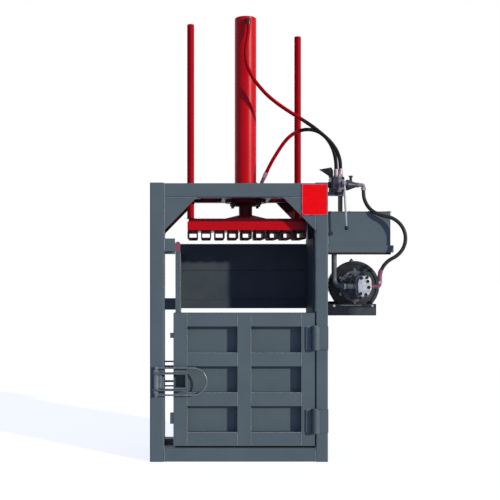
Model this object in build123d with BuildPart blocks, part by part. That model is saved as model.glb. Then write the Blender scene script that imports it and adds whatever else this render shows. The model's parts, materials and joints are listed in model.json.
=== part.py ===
"""Vertical hydraulic baling press: welded frame, bale chamber with two doors, ram, platen and power unit.

Millimetres. The origin is on the cylinder's axis at floor level, -Y is the front, +X the pump side, +Z up.
"""

from build123d import *
import os
from math import cos, radians, sin, sqrt, tan

os.makedirs("parts", exist_ok=True)

# Frame
frame_depth = 480
frame_height = 1565
left_inner = 467
right_inner = 382
left_post_width = 80
rear_left_post_width = 65
right_post_width = 70
post_depth = 80
post_wall = 6
crown_height = 80
crown_drop = 3
gusset_width = 182
gusset_height = 186
gusset_thickness = 12
front_rail_height = 78
rear_rail_height = 50
sleeper_width = 60

# Bale chamber
floor_thickness = 8
chamber_left = 381
wall_thickness = 8
wall_lip = 25
left_wall_drop = 306
right_wall_drop = 228
wall_depth = 350
lug_height = 60
lug_width = 28
front_tie_height = 72
rear_tie_low = 832
rear_tie_height = 70
tie_thickness = 12
panel_low = 840
panel_drop = 251
panel_thickness = 5
panel_step = 4
panel_border = 56
panel_top_border = 158

# Doors
door_left = 415
door_gap = 5
door_low = 90
front_door_height = 744
rear_door_height = 719
door_thickness = 60
door_stile = 76
door_middle_stile = 75
door_rail = 75
recess_depth = 50
lug_reach = 19

# Hinges
hinge_height = 129
hinge_barrel_radius = 21.5
hinge_pin_radius = 9
hinge_leaf_thickness = 10
hinge_leaf_width = 50
upper_hinge_low = 630
lower_hinge_low = 166
running_clearance = 0.06
face_clearance = 0.5

# Door latches
latch_level = 453
rear_latch_drop = 20
front_pin_offset = 43
rear_pin_offset = 34
latch_plate_gap = 84
latch_plate_thickness = 8
latch_plate_depth = 45
latch_plate_reach = 71
latch_pin_radius = 8
bail_radius = 75.5
bail_bar_radius = 5
bail_tip = 224
cam_radius = 13
cam_nose = 18.5
keeper_clearance = 1.5
keeper_width = 12
keeper_depth = 28

# Ram
stroke = 800
barrel_radius = 63.5
bore_radius = 50
barrel_length = 1092
barrel_foot = 7
barrel_cap = 15
cylinder_flange_radius = 120
cylinder_flange_thickness = 18
flange_hub_radius = 76
flange_bolt_circle = 104
flange_bolt_radius = 9
flange_bolt_tail = 26
flange_hub_height = 12
nut_height = 14
bolt_head_height = 11
crown_plate_rise = 1
crown_plate_thickness = 20
crown_plate_width = 280
stiffener_height = 56
stiffener_thickness = 12
rod_radius = 39
piston_height = 60
piston_gap = 10
rod_flange_radius = 122
rod_flange_height = 26
gland_height = 72
upper_port_drop = 30
upper_port_angle = 7.8
lower_port_rise = 108
lower_port_angle = 53
boss_radius = 17
boss_length = 14

# Platen and its guides
platen_width = 676
platen_depth = 320
platen_drop = 182
platen_frame_height = 51
platen_plate_thickness = 17
platen_plate_inset = 6
platen_wall = 8
channel_count = 9
channel_width = 58
channel_height = 50
channel_wall = 6
channel_flange = 9
guide_radius = 20
guide_x = 320
guide_y = 135
guide_length = 1109
guide_sleeve_wall = 4
guide_sleeve_height = 90
guide_sleeve_drop = 20
guide_boss_radius = 16
guide_plate_rise = 18
guide_plate_width = 110
guide_plate_thickness = 12

# Oil tank, valve and power pack
tank_width = 353
tank_depth = 380
tank_height = 222
tank_wall = 4
tank_lid_thickness = 5
tank_lid_overhang = 3
tray_drop = 391
tray_width = 375
tray_depth = 396
tray_height = 40
tray_wall = 5
bracket_drop = 51
bracket_width = 88
bracket_lip = 24
bracket_thickness = 12
bracket_front = 225
bracket_depth = 130
valve_width = 75
valve_depth = 100
valve_height = 86
valve_inset = 19
relief_reach = 114
shelf_drop = 356
shelf_width = 276
shelf_depth = 405
shelf_height = 64
shelf_wall = 6
motor_x = 614
motor_height = 159
motor_radius = 110
motor_front = 130
motor_length = 265
end_shield_radius = 143
end_shield_thickness = 20
fin_count = 28
fin_height = 9
fan_cover_length = 50
motor_foot_inset = 50
adapter_length = 55
adapter_radius = 62
adapter_flange_radius = 88
adapter_flange_thickness = 16
terminal_box_length = 110
terminal_box_height = 90
pump_width = 76
pump_height = 108
pump_length = 80
pump_shift = 30
suction_radius = 15
plate_left = 305
plate_width = 140
plate_drop = 99
plate_height = 171
plate_thickness = 4
hose_radius = 10.5
ferrule_radius = 12.5
ferrule_length = 30
short_ferrule_length = 16
upper_valve_ferrule_length = 46
lower_valve_ferrule_length = 48
fitting_radius = 11
elbow_foot_length = 16
lower_elbow_foot_length = 38

# Places that follow from the sizes
front_y = -frame_depth / 2
rear_y = frame_depth / 2
post_back_y = front_y + post_depth
crown_top = frame_height - crown_drop
crown_low = crown_top - crown_height
left_outer_x = -left_inner - left_post_width
right_outer_x = right_inner + right_post_width
floor_low = front_rail_height
floor_top = floor_low + floor_thickness
left_wall_top = crown_low - left_wall_drop
right_wall_top = crown_low - right_wall_drop
panel_high = crown_low - panel_drop
door_right_x = right_inner - door_gap
door_inner_y = front_y + door_thickness
hinge_axis_x = right_inner - door_gap / 2
hinge_axis_y = front_y - hinge_barrel_radius - face_clearance
latch_pin_y = front_y - latch_plate_depth / 2
platen_low = crown_low - platen_drop
platen_plate_low = platen_low + platen_frame_height
platen_top = platen_plate_low + platen_plate_thickness
guide_top = platen_top + guide_length
crown_plate_low = crown_low + crown_plate_rise
barrel_low = crown_plate_low - cylinder_flange_thickness - barrel_foot
barrel_high = barrel_low + barrel_length
upper_port_z = barrel_high - upper_port_drop
lower_port_z = barrel_low + lower_port_rise
piston_low = barrel_high - barrel_cap - piston_gap - piston_height
plate_low = crown_low - plate_drop
bracket_top = frame_height - bracket_drop
tray_low = frame_height - tray_drop
shelf_low = tray_low - shelf_drop
tray_left = right_outer_x
tank_left = tray_left + tray_wall + 2
tank_low = tray_low + tray_wall
tank_top = tank_low + tank_height + tank_lid_thickness
shelf_floor = shelf_low + shelf_wall
motor_z = shelf_floor + motor_height
valve_left = right_outer_x + valve_inset
valve_front = -bracket_front + 3
valve_top = bracket_top + valve_height


def facing(y):
    """Upright plane at depth y: sketch X is X, sketch Y is Z, and extrude goes to the front."""
    return Plane.XZ.offset(-y)


def span(left, right, low, high, mode=Mode.ADD):
    """Rectangle between two corners of the sketch that is being drawn."""
    with Locations(((left + right) / 2, (low + high) / 2)):
        Rectangle(right - left, high - low, mode=mode)


def keep(part, name):
    """Label a finished piece and write it out."""
    part.label = name
    export_step(part, f"parts/{name}.step")


def hollow_section(plane, width, height, length):
    """Rounded hollow section whose width lies along the plane's x direction."""
    with BuildPart() as section:
        with BuildSketch(plane):
            RectangleRounded(width, height, post_wall * 1.5)
            Rectangle(width - 2 * post_wall, height - 2 * post_wall, mode=Mode.SUBTRACT)
        extrude(amount=length)
    return section.part


def post(x, y, width, height):
    """Frame post standing on the floor, open below and capped on top."""
    with BuildPart() as upright:
        with BuildSketch(Plane(origin=(x, y, 0))):
            RectangleRounded(width, post_depth, post_wall * 1.5)
        extrude(amount=height)
        with BuildSketch(Plane(origin=(x, y, 0))):
            Rectangle(width - 2 * post_wall, post_depth - 2 * post_wall)
        extrude(amount=height - post_wall, mode=Mode.SUBTRACT)
    return upright.part


def beam_along_x(left, right, y, low, height):
    """Hollow beam between two posts."""
    plane = Plane(origin=(left, y, low + height / 2), x_dir=(0, 1, 0), z_dir=(1, 0, 0))
    return hollow_section(plane, post_depth, height, right - left)


def beam_along_y(x, low, width, height, length):
    """Hollow beam from front to back, centred on the frame's depth."""
    plane = Plane(origin=(x, -length / 2, low + height / 2), x_dir=(1, 0, 0), z_dir=(0, 1, 0))
    return hollow_section(plane, width, height, length)


# Posts
front_post_y = front_y + post_depth / 2
rear_post_y = rear_y - post_depth / 2
keep(post(left_outer_x + left_post_width / 2, front_post_y, left_post_width, frame_height), "post_front_left")
keep(
    post(left_outer_x + rear_left_post_width / 2, rear_post_y, rear_left_post_width, frame_height),
    "post_rear_left",
)
right_post_x = right_inner + right_post_width / 2
keep(post(right_post_x, front_post_y, right_post_width, frame_height), "post_front_right")
keep(post(right_post_x, rear_post_y, right_post_width, frame_height), "post_rear_right")

# Crown beams and bottom rails
rear_left_inner = left_outer_x + rear_left_post_width
side_length = frame_depth - 2 * post_depth
keep(beam_along_x(-left_inner, right_inner, front_post_y, crown_low, crown_height), "crown_beam_front")
keep(beam_along_x(rear_left_inner, right_inner, rear_post_y, crown_low, crown_height), "crown_beam_rear")
keep(beam_along_x(-left_inner, right_inner, front_post_y, 0, front_rail_height), "bottom_rail_front")
keep(beam_along_x(rear_left_inner, right_inner, rear_post_y, 0, rear_rail_height), "bottom_rail_rear")


def side_pair(low, height):
    """Left and right side beams that join the front posts to the rear posts."""
    left_width = rear_left_post_width
    left = beam_along_y(left_outer_x + left_width / 2, low, left_width, height, side_length)
    right = beam_along_y(right_post_x, low, right_post_width, height, side_length)
    return Compound(children=[left, right])


keep(side_pair(crown_low, crown_height), "crown_side_beams")
keep(side_pair(0, rear_rail_height), "bottom_side_rails")

sleeper_xs = [-chamber_left - wall_lip + sleeper_width / 2, 0, right_inner - sleeper_width / 2]
sleepers = [beam_along_y(x, 0, sleeper_width, front_rail_height, side_length) for x in sleeper_xs]
keep(Compound(children=sleepers), "floor_sleepers")

# Chamber floor, walls and back panel
with BuildPart() as floor_plate:
    with BuildSketch(Plane.XY.offset(floor_low)):
        span(-chamber_left - wall_lip, right_inner, door_inner_y + 2, wall_depth / 2)
    extrude(amount=floor_thickness)
keep(floor_plate.part, "floor_plate")

wall_front = -wall_depth / 2
wall_rear = wall_depth / 2
with BuildPart() as chamber_wall_left:
    with BuildSketch(Plane.XY.offset(floor_top)):
        span(-chamber_left - wall_thickness, -chamber_left, wall_front, wall_rear)
        span(-chamber_left - wall_lip, -chamber_left, wall_front, wall_front + wall_thickness)
        span(-chamber_left - wall_lip, -chamber_left, wall_rear - wall_thickness, wall_rear)
    extrude(amount=left_wall_top - floor_top)
    with BuildSketch(facing(wall_front + wall_thickness)):
        span(-chamber_left - lug_width + 3, -chamber_left + 3, left_wall_top, left_wall_top + lug_height - 14)
        with Locations((-chamber_left - lug_width / 2 + 3, left_wall_top + lug_height - 14)):
            Circle(lug_width / 2)
    extrude(amount=wall_thickness)
keep(chamber_wall_left.part, "chamber_wall_left")

with BuildPart() as chamber_wall_right:
    with BuildSketch(Plane.XY.offset(floor_top)):
        span(right_inner - wall_thickness, right_inner, wall_front, wall_rear)
    extrude(amount=right_wall_top - floor_top)
keep(chamber_wall_right.part, "chamber_wall_right")

panel_back = wall_rear + panel_thickness
crease = panel_step + 1
lower_crease = panel_low + panel_border
upper_crease = panel_high - panel_top_border
panel_profile = [
    (wall_rear, panel_low),
    (wall_rear, lower_crease),
    (wall_rear + panel_step, lower_crease + crease),
    (wall_rear + panel_step, upper_crease - crease),
    (wall_rear, upper_crease),
    (wall_rear, panel_high),
    (panel_back, panel_high),
    (panel_back, upper_crease),
    (panel_back + panel_step, upper_crease - crease),
    (panel_back + panel_step, lower_crease + crease),
    (panel_back, lower_crease),
    (panel_back, panel_low),
]
with BuildPart() as back_panel:
    with BuildSketch(Plane.YZ.offset(-chamber_left - wall_lip)):
        with BuildLine():
            Polyline(*panel_profile, close=True)
        make_face()
    extrude(amount=chamber_left + wall_lip + right_inner)
keep(back_panel.part, "back_panel")

# Ties between the left posts and the chamber's left wall
front_tie_low = left_wall_top + 4
tie_right = -chamber_left - lug_width + 3
with BuildPart() as front_tie:
    with BuildSketch(facing(front_y + tie_thickness)):
        span(-left_inner, tie_right, front_tie_low, front_tie_low + front_tie_height)
    extrude(amount=tie_thickness)
    with BuildSketch(facing(wall_front + wall_thickness)):
        span(-left_inner + 8, tie_right, front_tie_low, front_tie_low + front_tie_height - 20)
    extrude(amount=wall_front + wall_thickness - front_y)
    with BuildSketch(facing(front_y + 3 * tie_thickness)):
        span(-left_inner, -chamber_left - wall_lip, front_tie_low - 16, front_tie_low)
    extrude(amount=tie_thickness)
with BuildPart() as rear_tie:
    with BuildSketch(facing(wall_rear)):
        span(rear_left_inner, -chamber_left - wall_lip, rear_tie_low, rear_tie_low + rear_tie_height)
    extrude(amount=tie_thickness)
keep(Compound(children=[front_tie.part, rear_tie.part]), "side_ties")


def gusset(corner_x, direction, y, forward):
    """Triangular corner plate under a crown beam, against a post."""
    with BuildPart() as plate:
        with BuildSketch(facing(y)):
            with BuildLine():
                Polyline(
                    (corner_x, crown_low),
                    (corner_x + direction * gusset_width, crown_low),
                    (corner_x, crown_low - gusset_height),
                    close=True,
                )
            make_face()
        extrude(amount=forward * gusset_thickness)
    return plate.part


gussets = [
    gusset(-left_inner, 1, front_y, -1),
    gusset(right_inner, -1, front_y, -1),
    gusset(rear_left_inner, 1, rear_y, 1),
    gusset(right_inner, -1, rear_y, 1),
]
keep(Compound(children=gussets), "corner_gussets")

# Crown plate that carries the cylinder
with BuildPart() as crown_plate:
    with BuildSketch(Plane.XY.offset(crown_plate_low)):
        Rectangle(crown_plate_width, side_length)
        Circle(barrel_radius + 1, mode=Mode.SUBTRACT)
        with PolarLocations(flange_bolt_circle, 4, start_angle=45):
            Circle(flange_bolt_radius + 0.5, mode=Mode.SUBTRACT)
    extrude(amount=crown_plate_thickness)
    with BuildSketch(Plane.XY.offset(crown_plate_low + crown_plate_thickness)):
        for side in (-1, 1):
            with Locations((side * (crown_plate_width - stiffener_thickness) / 2, 0)):
                Rectangle(stiffener_thickness, side_length)
    extrude(amount=stiffener_height)
keep(crown_plate.part, "crown_plate")


def guide_carrier(x, y):
    """Cross plate between the crown beams with the welded sleeve that a guide rod slides in."""
    cross_low = crown_low + guide_plate_rise
    sleeve_low = cross_low - guide_sleeve_drop
    with BuildPart() as carrier:
        with BuildSketch(Plane.XY.offset(cross_low)):
            with Locations((x, 0)):
                Rectangle(guide_plate_width, side_length)
        extrude(amount=guide_plate_thickness)
        with BuildSketch(Plane.XY.offset(sleeve_low)):
            with Locations((x, y * 0.9)):
                Circle(guide_boss_radius)
            with Locations((x, y)):
                Circle(guide_radius + guide_sleeve_wall)
        extrude(amount=guide_sleeve_height)
        with BuildSketch(Plane.XY.offset(sleeve_low)):
            with Locations((x, y)):
                Circle(guide_radius + running_clearance)
        extrude(amount=guide_sleeve_height, mode=Mode.SUBTRACT)
    return carrier.part


keep(Compound(children=[guide_carrier(-guide_x, -guide_y), guide_carrier(guide_x, guide_y)]), "guide_carriers")

# Cylinder
def radial_plane(angle, z, distance):
    """Plane facing away from the ram's axis, angle degrees from the front towards +X."""
    out = (sin(radians(angle)), -cos(radians(angle)), 0)
    return Plane(origin=(out[0] * distance, out[1] * distance, z), z_dir=out)


with BuildPart() as cylinder_barrel:
    with BuildSketch(Plane.XY.offset(barrel_low)):
        Circle(barrel_radius)
    extrude(amount=barrel_high - barrel_low)
    chamfer(cylinder_barrel.edges().group_by(Axis.Z)[-1], length=4)
    for angle, z in ((upper_port_angle, upper_port_z), (lower_port_angle, lower_port_z)):
        with BuildSketch(radial_plane(angle, z, barrel_radius - 6)):
            Circle(boss_radius)
        extrude(amount=boss_length + 6)
        with BuildSketch(radial_plane(angle, z, bore_radius - 10)):
            Circle(boss_radius * 0.4)
        extrude(amount=barrel_radius + boss_length - bore_radius + 10, mode=Mode.SUBTRACT)
    with BuildSketch(Plane.XY.offset(barrel_low)):
        Circle(bore_radius)
    extrude(amount=barrel_high - barrel_low - barrel_cap, mode=Mode.SUBTRACT)
keep(cylinder_barrel.part, "cylinder_barrel")

flange_low = crown_plate_low - cylinder_flange_thickness
with BuildPart() as cylinder_flange:
    with BuildSketch(Plane.XZ):
        with BuildLine():
            Polyline(
                (barrel_radius + running_clearance, crown_plate_low),
                (cylinder_flange_radius, crown_plate_low),
                (cylinder_flange_radius, flange_low),
                (flange_hub_radius + 10, flange_low),
                (flange_hub_radius, flange_low - flange_hub_height),
                (barrel_radius + running_clearance, flange_low - flange_hub_height),
                close=True,
            )
        make_face()
    revolve(axis=Axis.Z)
    with BuildSketch(Plane.XY.offset(flange_low - 1)):
        with PolarLocations(flange_bolt_circle, 4, start_angle=45):
            Circle(flange_bolt_radius + 0.5)
    extrude(amount=cylinder_flange_thickness + 2, mode=Mode.SUBTRACT)
keep(cylinder_flange.part, "cylinder_flange")

with BuildPart() as cylinder_gland:
    with BuildSketch(Plane.XY.offset(barrel_low - 12)):
        Circle(barrel_radius - 2)
        Circle(rod_radius + running_clearance, mode=Mode.SUBTRACT)
    extrude(amount=12)
    with BuildSketch(Plane.XY.offset(barrel_low)):
        Circle(bore_radius - running_clearance)
        Circle(rod_radius + running_clearance, mode=Mode.SUBTRACT)
    extrude(amount=gland_height)
keep(cylinder_gland.part, "cylinder_gland")

bolt_head_low = crown_plate_low + crown_plate_thickness
with BuildPart() as flange_bolts:
    with PolarLocations(flange_bolt_circle, 4, start_angle=45) as bolt_places:
        pass
    for place in bolt_places.local_locations:
        spot = (place.position.X, place.position.Y)
        with BuildSketch(Plane.XY.offset(flange_low - flange_bolt_tail)):
            with Locations(spot):
                Circle(flange_bolt_radius)
        extrude(amount=bolt_head_low + 1 - flange_low + flange_bolt_tail)
        with BuildSketch(Plane.XY.offset(flange_low - nut_height)):
            with Locations(spot):
                RegularPolygon(flange_bolt_radius * 1.7, 6)
        extrude(amount=nut_height)
        with BuildSketch(Plane.XY.offset(bolt_head_low)):
            with Locations(spot):
                RegularPolygon(flange_bolt_radius * 1.7, 6)
        extrude(amount=bolt_head_height)
keep(flange_bolts.part, "flange_bolts")

# Piston and rod with its welded foot flange
with BuildPart() as piston_rod:
    with BuildSketch(Plane.XZ):
        with BuildLine():
            Polyline(
                (0, platen_top),
                (rod_flange_radius, platen_top),
                (rod_flange_radius, platen_top + 7),
                (rod_radius + 7, platen_top + rod_flange_height),
                (rod_radius, platen_top + rod_flange_height),
                (rod_radius, piston_low),
                (rod_radius - 14, piston_low),
                (rod_radius - 14, piston_low + piston_height),
                (0, piston_low + piston_height),
                close=True,
            )
        make_face()
    revolve(axis=Axis.Z)
keep(piston_rod.part, "piston_rod")

with BuildPart() as piston:
    with BuildSketch(Plane.XY.offset(piston_low)):
        Circle(bore_radius - running_clearance)
        Circle(rod_radius - 14 + running_clearance, mode=Mode.SUBTRACT)
    extrude(amount=piston_height)
    for level in (piston_height * 0.25, piston_height * 0.65):
        with BuildSketch(Plane.XY.offset(piston_low + level)):
            Circle(bore_radius)
            Circle(bore_radius - 5, mode=Mode.SUBTRACT)
        extrude(amount=5, mode=Mode.SUBTRACT)
keep(piston.part, "piston")

# Platen
with BuildPart() as platen_frame:
    with BuildSketch(Plane.XY.offset(platen_low)):
        Rectangle(platen_width, platen_depth)
    extrude(amount=platen_frame_height)
    cell_width = (platen_width - 5 * platen_wall) / 4
    with BuildSketch(Plane.XY.offset(platen_low + platen_wall)):
        with GridLocations(cell_width + platen_wall, 1, 4, 1):
            Rectangle(cell_width, platen_depth - 2 * platen_wall)
    extrude(amount=platen_frame_height - platen_wall, mode=Mode.SUBTRACT)
keep(platen_frame.part, "platen_frame")

with BuildPart() as platen_top_plate:
    with BuildSketch(Plane.XY.offset(platen_plate_low)):
        Rectangle(platen_width - 2 * platen_plate_inset, platen_depth - 2 * platen_plate_inset)
    extrude(amount=platen_plate_thickness)
keep(platen_top_plate.part, "platen_top_plate")

channel_pitch = (platen_width - channel_width) / (channel_count - 1)
with BuildPart() as strap_channels:
    with BuildSketch(facing(platen_depth / 2)):
        with Locations((0, platen_low - channel_height / 2)):
            with GridLocations(channel_pitch, 1, channel_count, 1):
                RectangleRounded(channel_width, channel_height, channel_wall * 1.5)
                RectangleRounded(
                    channel_width - 2 * channel_wall,
                    channel_height - 2 * channel_flange,
                    channel_wall * 0.6,
                    mode=Mode.SUBTRACT,
                )
    extrude(amount=platen_depth)
keep(strap_channels.part, "strap_channels")

with BuildPart() as guide_rods:
    with BuildSketch(Plane.XY.offset(platen_top)):
        with Locations((-guide_x, -guide_y), (guide_x, guide_y)):
            Circle(guide_radius)
    extrude(amount=guide_top - platen_top)
    chamfer(guide_rods.edges().group_by(Axis.Z)[-1], length=3)
keep(guide_rods.part, "guide_rods")


# Doors, hinges and latches, drawn for the front and mirrored for the rear
def hinge_half(level, side, sections, reach):
    """Hinge half on the front plane: leaf, webs and the barrel sections numbered 0 to 2 from below."""
    third = hinge_height / 3
    near = hinge_axis_x + side * (hinge_barrel_radius + 2)
    far = hinge_axis_x + side * reach
    web = hinge_axis_x + side * (hinge_pin_radius + 2)
    with BuildPart() as half:
        with BuildSketch(facing(front_y)):
            span(min(near, far), max(near, far), level, level + hinge_height)
        extrude(amount=hinge_leaf_thickness)
        for index in sections:
            low = level + index * third + face_clearance / 2
            with BuildSketch(facing(front_y - face_clearance)):
                span(min(near, web), max(near, web), low, low + third - face_clearance)
            extrude(amount=hinge_leaf_thickness - face_clearance)
            with BuildSketch(Plane.XY.offset(low)):
                with Locations((hinge_axis_x, hinge_axis_y)):
                    Circle(hinge_barrel_radius)
            extrude(amount=third - face_clearance)
        with BuildSketch(Plane.XY.offset(level - 1)):
            with Locations((hinge_axis_x, hinge_axis_y)):
                Circle(hinge_pin_radius + running_clearance)
        extrude(amount=hinge_height + 2, mode=Mode.SUBTRACT)
    return half.part


def latch_plate(level, pin_x):
    """Flat plate that reaches from the door's stile to the latch pin in front of the post."""
    back = front_y - face_clearance
    right = -door_left + latch_plate_reach
    with BuildPart() as plate:
        with BuildSketch(Plane.XY.offset(level)):
            span(pin_x, right, front_y - latch_plate_depth, back)
            span(-door_left, right, back, front_y)
            with Locations((pin_x, latch_pin_y)):
                Circle(latch_plate_depth / 2 - face_clearance)
                Circle(latch_pin_radius + running_clearance, mode=Mode.SUBTRACT)
        extrude(amount=latch_plate_thickness)
    return plate.part


def door(height, hinge_levels, level, pin_x, lug_levels):
    """Front door: ribbed weldment with its hinge halves and latch plates."""
    recess_width = (door_left + door_right_x - 2 * door_stile - door_middle_stile) / 2
    recess_height = (height - 4 * door_rail) / 3
    centre = ((door_right_x - door_left) / 2, door_low + height / 2)
    fittings = [hinge_half(hinge_level, -1, [1], hinge_leaf_width) for hinge_level in hinge_levels]
    fittings.append(latch_plate(level + latch_plate_gap / 2, pin_x))
    fittings.append(latch_plate(level - latch_plate_gap / 2 - latch_plate_thickness, pin_x))
    with BuildPart() as leaf:
        with BuildSketch(facing(door_inner_y)):
            span(-door_left, door_right_x, door_low, door_low + height)
        extrude(amount=door_thickness)
        with BuildSketch(facing(front_y)):
            with Locations(centre):
                with GridLocations(recess_width + door_middle_stile, recess_height + door_rail, 2, 3):
                    Rectangle(recess_width, recess_height)
            span(
                -door_left + 4,
                -door_left + latch_plate_reach - 4,
                level - latch_plate_gap / 2 + 6,
                level + latch_plate_gap / 2 - 6,
            )
        extrude(amount=-recess_depth, mode=Mode.SUBTRACT)
        for low, high in lug_levels:
            with BuildSketch(facing(front_y + 24)):
                span(-door_left - lug_reach, -door_left, low, high)
            extrude(amount=20)
        add(fittings)
    return leaf.part


front_pin_x = -left_inner - front_pin_offset
rear_pin_x = rear_left_inner - rear_pin_offset
rear_latch_level = latch_level - rear_latch_drop
hinge_levels = [upper_hinge_low, lower_hinge_low]
front_lugs = [(694, 722), (213, 274)]
keep(door(front_door_height, hinge_levels, latch_level, front_pin_x, front_lugs), "front_door")
rear_door = door(rear_door_height, hinge_levels, rear_latch_level, rear_pin_x, [])
keep(mirror(rear_door, about=Plane.XZ), "rear_door")


def hinge_pin(level):
    """Headed hinge pin."""
    with BuildPart() as pin:
        with BuildSketch(Plane.XY.offset(level - 4)):
            with Locations((hinge_axis_x, hinge_axis_y)):
                Circle(hinge_pin_radius)
        extrude(amount=hinge_height + 4)
        with BuildSketch(Plane.XY.offset(level + hinge_height)):
            with Locations((hinge_axis_x, hinge_axis_y)):
                Circle(hinge_pin_radius * 1.6)
        extrude(amount=6)
    return pin.part


def front_and_rear(pieces):
    """The given front pieces together with their mirror images at the rear."""
    rear = [mirror(piece, about=Plane.XZ) for piece in pieces]
    return Compound(children=[*pieces, *rear])


post_halves = [hinge_half(level, 1, [0, 2], right_outer_x - hinge_axis_x) for level in hinge_levels]
keep(front_and_rear(post_halves), "hinge_post_leaves")
keep(front_and_rear([hinge_pin(level) for level in hinge_levels]), "hinge_pins")


def latch(level, pin_x):
    """Swinging latch: U-shaped bail, its vertical pin, lock nuts and the cam between the plates."""
    tip_x = -bail_tip - bail_bar_radius - bail_radius
    top = level + bail_radius
    bottom = level - bail_radius
    with BuildPart() as handle:
        with BuildLine(facing(latch_pin_y)):
            Line((pin_x, top), (tip_x, top))
            ThreePointArc((tip_x, top), (tip_x + bail_radius, level), (tip_x, bottom))
            Line((tip_x, bottom), (pin_x, bottom))
        with BuildSketch(Plane(origin=(pin_x, latch_pin_y, top), z_dir=(1, 0, 0))):
            Circle(bail_bar_radius)
        sweep()
        with BuildSketch(Plane.XY.offset(bottom - bail_bar_radius - 4)):
            with Locations((pin_x, latch_pin_y)):
                Circle(latch_pin_radius)
        extrude(amount=2 * (bail_radius + bail_bar_radius + 4))
        with BuildSketch(Plane.XY.offset(level - latch_plate_gap / 2 + face_clearance)):
            with Locations((pin_x, latch_pin_y)):
                Circle(cam_radius)
            span(pin_x, pin_x + cam_nose, latch_pin_y - 7, latch_pin_y + 7)
        extrude(amount=latch_plate_gap - 2 * face_clearance)
        outer = latch_plate_gap / 2 + latch_plate_thickness + face_clearance
        for nut_low in (level + outer, level - outer - nut_height):
            with BuildSketch(Plane.XY.offset(nut_low)):
                with Locations((pin_x, latch_pin_y)):
                    RegularPolygon(latch_pin_radius * 1.75, 6)
            extrude(amount=nut_height)
    return handle.part


keep(latch(latch_level, front_pin_x), "front_latch")
keep(mirror(latch(rear_latch_level, rear_pin_x), about=Plane.XZ), "rear_latch")


def keeper(level, pin_x):
    """Upright bar on the post beside the latch cam."""
    near = pin_x + cam_nose + keeper_clearance
    with BuildPart() as bar:
        with BuildSketch(facing(front_y)):
            span(near, near + keeper_width, level - latch_plate_gap / 2 + 6, level + latch_plate_gap / 2 - 6)
        extrude(amount=keeper_depth)
    return bar.part


front_keeper = keeper(latch_level, front_pin_x)
rear_keeper = mirror(keeper(rear_latch_level, rear_pin_x), about=Plane.XZ)
keep(Compound(children=[front_keeper, rear_keeper]), "latch_keepers")

# Oil tank in its tray
with BuildPart() as tank_tray:
    with BuildSketch(Plane.XY.offset(tray_low)):
        span(tray_left, tray_left + tray_width, -tray_depth / 2, tray_depth / 2)
    extrude(amount=tray_height)
    with BuildSketch(Plane.XY.offset(tray_low + tray_wall)):
        span(
            tray_left + tray_wall,
            tray_left + tray_width - tray_wall,
            -tray_depth / 2 + tray_wall,
            tray_depth / 2 - tray_wall,
        )
    extrude(amount=tray_height, mode=Mode.SUBTRACT)
keep(tank_tray.part, "tank_tray")

tank_right = tank_left + tank_width
with BuildPart() as oil_tank:
    with BuildSketch(Plane.XY.offset(tank_low)):
        span(tank_left, tank_right, -tank_depth / 2, tank_depth / 2)
    extrude(amount=tank_height)
    fillet(oil_tank.edges().filter_by(Axis.Z), radius=6)
    with BuildSketch(Plane.XY.offset(tank_low + tank_wall)):
        span(
            tank_left + tank_wall,
            tank_right - tank_wall,
            -tank_depth / 2 + tank_wall,
            tank_depth / 2 - tank_wall,
        )
    extrude(amount=tank_height, mode=Mode.SUBTRACT)
keep(oil_tank.part, "oil_tank")

with BuildPart() as tank_lid:
    with BuildSketch(Plane.XY.offset(tank_low + tank_height)):
        span(
            tank_left - tank_lid_overhang,
            tank_right + tank_lid_overhang,
            -tank_depth / 2 - tank_lid_overhang,
            tank_depth / 2 + tank_lid_overhang,
        )
    extrude(amount=tank_lid_thickness)
keep(tank_lid.part, "tank_lid")

with BuildPart() as filler_cap:
    with BuildSketch(Plane.XY.offset(tank_top)):
        with Locations((tank_left + tank_width * 0.7, tank_depth * 0.3)):
            Circle(26)
    extrude(amount=5)
    with BuildSketch(Plane.XY.offset(tank_top + 5)):
        with Locations((tank_left + tank_width * 0.7, tank_depth * 0.3)):
            RegularPolygon(20, 8)
    extrude(amount=9)
keep(filler_cap.part, "filler_cap")

# Valve bracket on the post and the tank
bracket_right = right_outer_x + bracket_width
with BuildPart() as valve_bracket:
    with BuildSketch(facing(-bracket_front + bracket_depth)):
        span(right_outer_x, bracket_right, bracket_top - bracket_thickness, bracket_top)
        span(bracket_right - bracket_thickness, bracket_right, tank_top, bracket_top)
    extrude(amount=bracket_depth)
    with BuildSketch(Plane.YZ.offset(bracket_right - bracket_thickness)):
        span(-bracket_front, -tank_depth / 2, tank_top, bracket_top - bracket_lip)
    extrude(amount=bracket_thickness, mode=Mode.SUBTRACT)
    with BuildSketch(facing(-bracket_front + 5)):
        span(right_outer_x, bracket_right, bracket_top - bracket_lip, bracket_top)
    extrude(amount=5)
keep(valve_bracket.part, "valve_bracket")

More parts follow.
